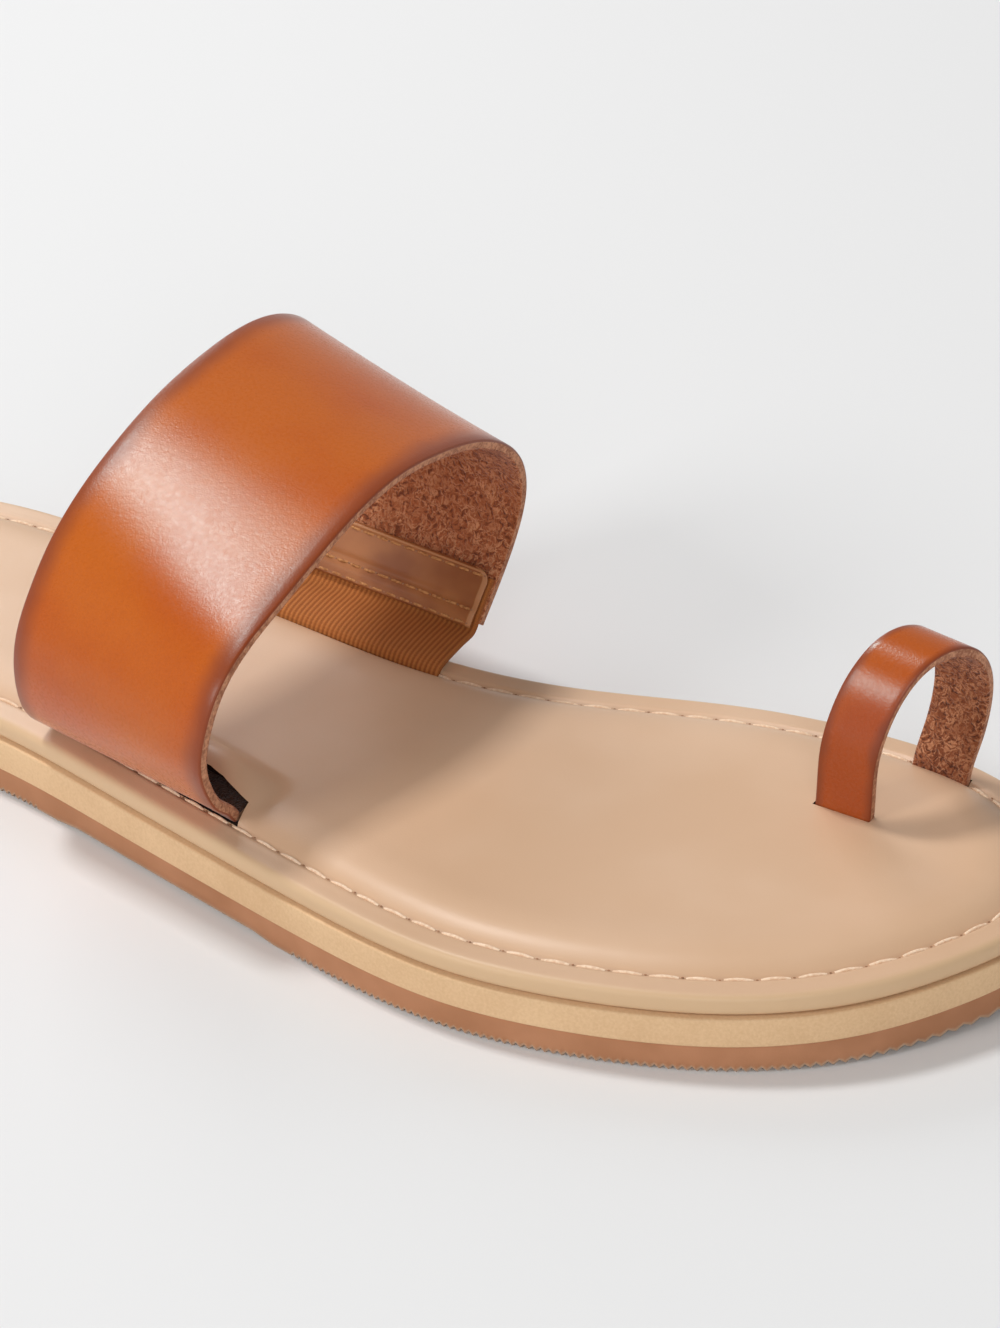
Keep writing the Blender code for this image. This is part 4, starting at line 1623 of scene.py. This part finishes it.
@dataclass
class InstepStrap:
    """Wide strap over the instep, its elastic gore and the gore's facing tape."""

    shop: Workshop
    width: float = 0.0458
    thickness: float = 0.0020
    rear_station: float = 0.0860
    front_rise: float = 0.0489
    rear_rise: float = 0.0575
    lean: float = 0.10
    mouth_inset: float = 0.0064
    tail: float = 0.0060
    gore_thickness: float = 0.0010
    gore_inset: float = 0.0064
    gore_tuck: float = 0.0020
    gore_lap: float = 0.0085
    gore_setback: float = 0.0002
    gore_slant: float = 0.0022
    gore_pitch: float = 0.0010
    gore_depth: float = 0.00005
    tape_thickness: float = 0.0009
    tape_width: float = 0.0112
    tape_start: float = -0.0012
    tape_setback: float = 0.0008
    tape_body: float = 0.00058
    tape_crown: float = 0.00012
    tape_rim: float = 0.0003
    tape_corner: float = 0.0028
    tape_stations: int = 60
    piping_inset: float = 0.0006
    piping_rise: float = 0.00026
    piping_spread: float = 0.00042
    seam_pitch: float = 0.0030
    seam_share: float = 0.7
    seam_thread: float = 0.00026
    seam_rise: float = 0.00022
    seam_hole: float = 0.00020
    gore_steps: int = 48
    gore_columns: int = 380
    tape_rows: int = 45
    coarse_steps: int = 56
    steps: int = 220

    def station(self, share: float) -> float:
        """Return the station of the strap's base: share 0 is its rear edge, 1 its front."""
        return self.rear_station + share * self.width

    def section(self, share: float, count: int = 0) -> np.ndarray:
        """Return the strap's outer face as rows of across and height."""
        form = self.shop.form
        station = self.station(share)
        table = np.array(STRAP_SECTIONS)
        front = share > 0.5
        across, height = table[:, (0, 1)].T if front else table[:, (2, 3)].T
        rise = self.front_rise if front else self.rear_rise
        outer = form.line_inside(station, Side.OUTER, self.mouth_inset)
        inner = form.line_inside(station, Side.INNER, self.gore_inset)
        rows = np.column_stack((outer + across * (inner - outer), height * rise))
        folded = [(outer + part * self.tail, rows[0, 1]) for part in (1.0, 0.5)]
        return smooth_curve(np.concatenate((folded, rows)), count or self.steps)

    def stand_up(self, section: np.ndarray, station: float) -> np.ndarray:
        """Place rows of across and height at a station, leaning to the toe."""
        height = section[:, 1]
        base = float(self.shop.form.rim(station))
        return np.column_stack((station + self.lean * height, section[:, 0], base + height))

    def inside(self, section: np.ndarray, from_end: float, inward: float) -> np.ndarray:
        """Return a point at from_end before the strap's end, moved to the foot."""
        back = section[::-1]
        travelled = path_lengths(back)
        beyond = 2 * back[0] - back[1]
        travelled = np.concatenate(([-travelled[1]], travelled))
        back = np.concatenate(([beyond], back))
        point = np.array([np.interp(from_end, travelled, back[:, axis]) for axis in (0, 1)])
        ahead = np.array([np.interp(from_end + 0.001, travelled, back[:, axis]) for axis in (0, 1)])
        along = (ahead - point) / np.linalg.norm(ahead - point)
        return point + inward * np.array((-along[1], along[0]))

    def build(self, finishes: Finishes) -> None:
        """Build the strap, the gore, the tape and the tape's stitches."""
        rear = self.stand_up(self.section(0.0), self.station(0.0))
        front = self.stand_up(self.section(1.0), self.station(1.0))
        band = Band(self.shop, self.thickness, columns=28)
        leathers = [finishes.strap, finishes.strap_suede, finishes.edge]
        item = band.build("instep_strap_leather", rear, front, leathers)
        self.shop.hand_over(item, Slot.STRAP, "instep_strap")
        self.build_gore(finishes)
        self.build_tape(finishes)

    def gore_rows(self, share: float) -> np.ndarray:
        """Return the gore's outer face, from its end inside the strap down to its slot."""
        form = self.shop.form
        station = self.station(share) + self.gore_slant
        edge = form.edge(station, Side.INNER)
        half = 0.5 * self.gore_thickness
        slot = form.line_inside(station, Side.INNER, self.gore_inset)
        rows = [(slot + half, -self.gore_tuck), (slot + half, -0.5 * self.gore_tuck)]
        rows += [(edge + out * self.gore_inset + half, up * self.gore_inset) for out, up in GORE_DRAPE]
        strap = self.section(share, self.coarse_steps)
        inward = self.thickness + form.seat_gap
        start = self.tape_start - 0.5 * self.tape_thickness
        for part in (0.0, 0.25, 0.5, 0.75, 1.0):
            rows.append(tuple(self.inside(strap, start + part * (self.gore_lap - start), inward)))
        return smooth_curve(rows, self.gore_steps)[::-1]

    def build_gore(self, finishes: Finishes) -> None:
        """Build the elastic as a dense strip that the tree raises into ribs."""
        rear = self.stand_up(self.gore_rows(0.0), self.station(0.0) + self.gore_setback)
        front = self.stand_up(self.gore_rows(1.0), self.station(1.0) - self.gore_setback)
        drift = self.gore_slant * np.linspace(0.0, 1.0, len(rear)) ** 2
        rear[:, 0] += drift
        front[:, 0] += drift
        thickness = self.gore_thickness - 2 * self.gore_depth
        band = Band(self.shop, thickness, columns=self.gore_columns, rounding=0.00015)
        item = band.build("gore_webbing", rear, front, [finishes.webbing] * 3)
        tree = NodeTree("ribs", {"Pitch": 0.0014, "Depth": 0.0001})
        height = tree.wave(tree.stored("across")) * tree.size("Depth")
        push = tree.scaled(tree.node("GeometryNodeInputNormal"), height)
        tree.close(tree.painted(tree.moved(push), finishes.webbing))
        tree.run(item, {"Pitch": self.gore_pitch, "Depth": self.gore_depth})
        self.shop.hand_over(item, Slot.ELASTIC, "elastic_gore")

    def tape_line(self, part: float, inward: float, count: int, trim: float = 0.0) -> np.ndarray:
        """Return a line along the tape, part 0 at the strap's end and 1 at its far edge.

        Args:
            part: Place across the tape.
            inward: Distance from the strap's outer face.
            count: How many points.
            trim: How far the front end stays back.

        Returns:
            Points from the rear end to the front end.
        """
        ends = []
        for share, setback in ((0.0, self.tape_setback), (1.0, -self.tape_setback - trim)):
            strap = self.section(share, self.coarse_steps)
            row = self.inside(strap, self.tape_start + part * self.tape_width, inward)
            ends.append(self.stand_up(np.array([row]), self.station(share) + setback)[0])
        shares = np.linspace(0.0, 1.0, count)[:, None]
        return ends[0] * (1.0 - shares) + ends[1] * shares

    def build_tape(self, finishes: Finishes) -> None:
        """Build the facing tape with its piped edge, its recess and three rows of stitches."""
        back = self.thickness + self.gore_thickness + 2 * self.shop.form.seat_gap
        parts = np.linspace(0.0, 1.0, self.tape_rows)
        place = parts * self.tape_width
        far = self.tape_width
        height = self.tape_body + self.tape_crown * np.sin(math.pi * parts) ** 0.5
        for centre, rise, spread in TAPE_RELIEF:
            height += rise * np.exp(-(((place - centre) / spread) ** 2))
        piping = np.exp(-(((place - (far - self.piping_inset)) / self.piping_spread) ** 2))
        height += self.piping_rise * piping
        height[0] = height[-1] = self.tape_rim
        corner = self.tape_corner
        over = np.clip(place - (far - corner), 0.0, corner)
        trim = corner - np.sqrt(np.maximum(corner**2 - over**2, 0.0))
        stations = self.tape_stations
        under = np.array([self.tape_line(p, back, stations, t) for p, t in zip(parts, trim)])
        face = np.array(
            [self.tape_line(p, back + h, stations, t) for p, t, h in zip(parts, trim, height)]
        )
        ends = np.ones(stations)
        ends[[0, -1]] = 0.55
        face = under + (face - under) * ends[None, :, None]
        rows = len(parts)
        points = np.concatenate((face.reshape(-1, 3), under.reshape(-1, 3)))
        offset = rows * stations
        faces: List[Tuple[int, ...]] = []
        for quad in grid_faces(rows, stations, wrap=False):
            faces.append(quad)
            faces.append(tuple(offset + corner_at for corner_at in quad[::-1]))
        border = list(range(stations))
        border += [r * stations + stations - 1 for r in range(1, rows)]
        border += [(rows - 1) * stations + i for i in range(stations - 2, -1, -1)]
        border += [r * stations for r in range(rows - 2, 0, -1)]
        for i, first in enumerate(border):
            second = border[(i + 1) % len(border)]
            faces.append((first, second, offset + second, offset + first))
        # crest marks the piping for its painted highlight, and the front end's paler cut edge.
        crest = np.repeat(np.maximum(piping, 0.0), stations).reshape(rows, stations)
        crest[:, -2:] = np.maximum(crest[:, -2:], 0.9)
        crest = np.concatenate((crest.ravel(), np.zeros(offset)))
        item = self.shop.mesh(
            "gore_tape_leather",
            points,
            faces,
            [finishes.tape],
            attributes={"crest": crest},
        )
        self.shop.point_out(item, sharp=0.8)
        self.shop.hand_over(item, Slot.TAPE, "gore_tape")
        self.sew_tape(finishes, back)

    def sew_tape(self, finishes: Finishes, back: float) -> None:
        """Sew the three rows of stitches along the tape."""
        lines = []
        for place, level in TAPE_SEAMS:
            line = self.tape_line(place / self.tape_width, back + level, count=40)
            lines.append(line[2:-2])
        first = lines[1]
        near_middle = 20
        across = lines[2][near_middle] - first[near_middle]
        along = first[-1] - first[0]
        up = np.cross(along, across)
        up /= np.linalg.norm(up)
        outer, inner = (self.tape_line(0.5, back + deeper, count=3)[1] for deeper in (0.0, 0.001))
        up *= np.sign(up @ (inner - outer))
        row = StitchRow(self.shop, finishes.brown_thread, finishes.hole_shade)
        item = row.sew(
            "tape_stitches",
            lines,
            {
                "Pitch": self.seam_pitch,
                "Length": self.seam_share * self.seam_pitch,
                "Thickness": self.seam_thread,
                "Rise": self.seam_rise,
                "Hole": self.seam_hole,
                "Up": tuple(float(value) for value in up),
                "Seed": 9,
            },
        )
        self.shop.hand_over(item, Slot.TAPE)


@dataclass
class ToeLoop:
    """Leather loop for the big toe."""

    shop: Workshop
    width: float = 0.0107
    thickness: float = 0.0019
    place_along: float = 0.2175
    place_across: float = 0.0192
    span: float = 0.0235
    slant: float = 0.0070
    front_rise: float = 0.0310
    rear_rise: float = 0.0322
    lean: float = 0.10
    tuck: float = 0.0012
    steps: int = 180

    def edge(self, end: int) -> np.ndarray:
        """Return one edge of the loop: end -1 is its rear edge, +1 its front."""
        rise = self.front_rise if end > 0 else self.rear_rise
        rows = np.array(LOOP_SECTION) * (self.span, rise)
        foot = [(rows[0, 0], -self.tuck)]
        last = [(rows[-1, 0], -self.tuck)]
        rows = smooth_curve(np.concatenate((foot, rows, last)), self.steps)
        across, height = rows.T
        along = self.place_along + across / self.span * self.slant + 0.5 * end * self.width
        along = along + self.lean * np.maximum(height, 0.0)
        base = float(self.shop.form.rim(self.place_along))
        return np.column_stack((along, self.place_across + across, base + height))

    def build(self, finishes: Finishes) -> None:
        """Build the loop."""
        band = Band(self.shop, self.thickness, columns=12, rounding=0.00035)
        leathers = [finishes.loop, finishes.suede, finishes.edge]
        item = band.build("toe_loop_leather", self.edge(-1), self.edge(1), leathers)
        self.shop.hand_over(item, Slot.STRAP, "toe_loop")


@dataclass(frozen=True)
class Studio:
    """Floor, light and camera."""

    target: Tuple[float, float] = (0.126557, 0.052198)
    azimuth: float = 33.661
    elevation: float = 30.767
    roll: float = -0.488
    distance: float = 0.900
    pixels_per_metre: float = 5419.0
    frame_height: int = 1328
    sensor: float = 36.0
    floor_shade: Colour = (0.80, 0.80, 0.80)
    horizon: float = 0.60
    zenith: float = 0.12

    def build(self, shop: Workshop) -> None:
        """Build the floor, the lights and the camera."""
        bpy.context.scene.view_settings.view_transform = "Standard"
        self.build_floor()
        self.build_light()
        self.build_camera(shop.shift)

    def build_floor(self) -> None:
        """Lay a wide pale floor under the shoe."""
        reach = 6.0
        mesh = bpy.data.meshes.new("floor")
        signs = ((-1, -1), (1, -1), (1, 1), (-1, 1))
        corners = [(reach * x, reach * y, 0.0) for x, y in signs]
        mesh.from_pydata(corners, [], [(0, 1, 2, 3)])
        floor = linked("floor", mesh)
        paint = Paint("floor", 0.9, specular=0.0)
        mesh.materials.append(paint.dress(self.floor_shade))

    def area(self, name: str, place: Tuple[float, float, float], size: float, power: float) -> None:
        """Hang a square light that faces the shoe.

        Args:
            name: Name of the light.
            place: Where it hangs.
            size: Length of its side.
            power: Its power in watts.
        """
        data = bpy.data.lights.new(name, "AREA")
        data.shape = "SQUARE"
        data.size = size
        data.energy = power
        lamp = linked(name, data)
        lamp.location = place
        lamp.rotation_mode = "QUATERNION"
        lamp.rotation_quaternion = (-Vector(place)).to_track_quat("-Z", "Y")

    def build_light(self) -> None:
        """Set a sky that is darker overhead, and four soft lamps."""
        world = bpy.data.worlds.new("studio")
        bpy.context.scene.world = world
        world.use_nodes = True
        tree = world.node_tree
        sky = tree.nodes["Background"]
        spot = tree.nodes.new("ShaderNodeTexCoord")
        split = tree.nodes.new("ShaderNodeSeparateXYZ")
        fade = tree.nodes.new("ShaderNodeValToRGB")
        tree.links.new(spot.outputs["Generated"], split.inputs[0])
        tree.links.new(split.outputs["Z"], fade.inputs[0])
        for element, shade in zip(fade.color_ramp.elements, (self.horizon, self.zenith)):
            element.color = (shade, shade, shade, 1.0)
        tree.links.new(fade.outputs["Color"], sky.inputs["Color"])
        for name, place, size, power in LAMPS:
            self.area(name, place, size, power)

    def build_camera(self, shift: Vector) -> None:
        """Place the camera at the photograph's viewing angle."""
        turns = (
            (self.azimuth, "Z"),
            (90.0 - self.elevation, "X"),
            (self.roll, "Z"),
        )
        turn = Matrix.Identity(4)
        for degrees, axis in turns:
            turn = turn @ Matrix.Rotation(math.radians(degrees), 4, axis)
        target = Vector((self.target[0], self.target[1], 0.0)) + shift
        data = bpy.data.cameras.new("camera")
        data.sensor_fit = "AUTO"
        data.sensor_width = self.sensor
        data.lens = self.pixels_per_metre * self.distance / self.frame_height * self.sensor
        data.clip_start = 0.01
        data.clip_end = 50.0
        camera = linked("camera", data)
        away = Matrix.Translation((0.0, 0.0, self.distance))
        camera.matrix_world = Matrix.Translation(target) @ turn @ away
        bpy.context.scene.camera = camera


def main() -> None:
    """Build the sandal in order and report each piece."""
    logging.basicConfig(level=logging.INFO, format="%(name)s %(message)s")
    form = SoleForm()
    shop = Workshop(form)
    strap = InstepStrap(shop)
    loop = ToeLoop(shop)
    finishes = Finishes(strap.width, strap.tail, loop.width)
    Studio().build(shop)
    Sole(shop, finishes).build()
    Footbed(shop, finishes, strap, loop).build()
    strap.build(finishes)
    loop.build(finishes)


if __name__ == "__main__":
    main()
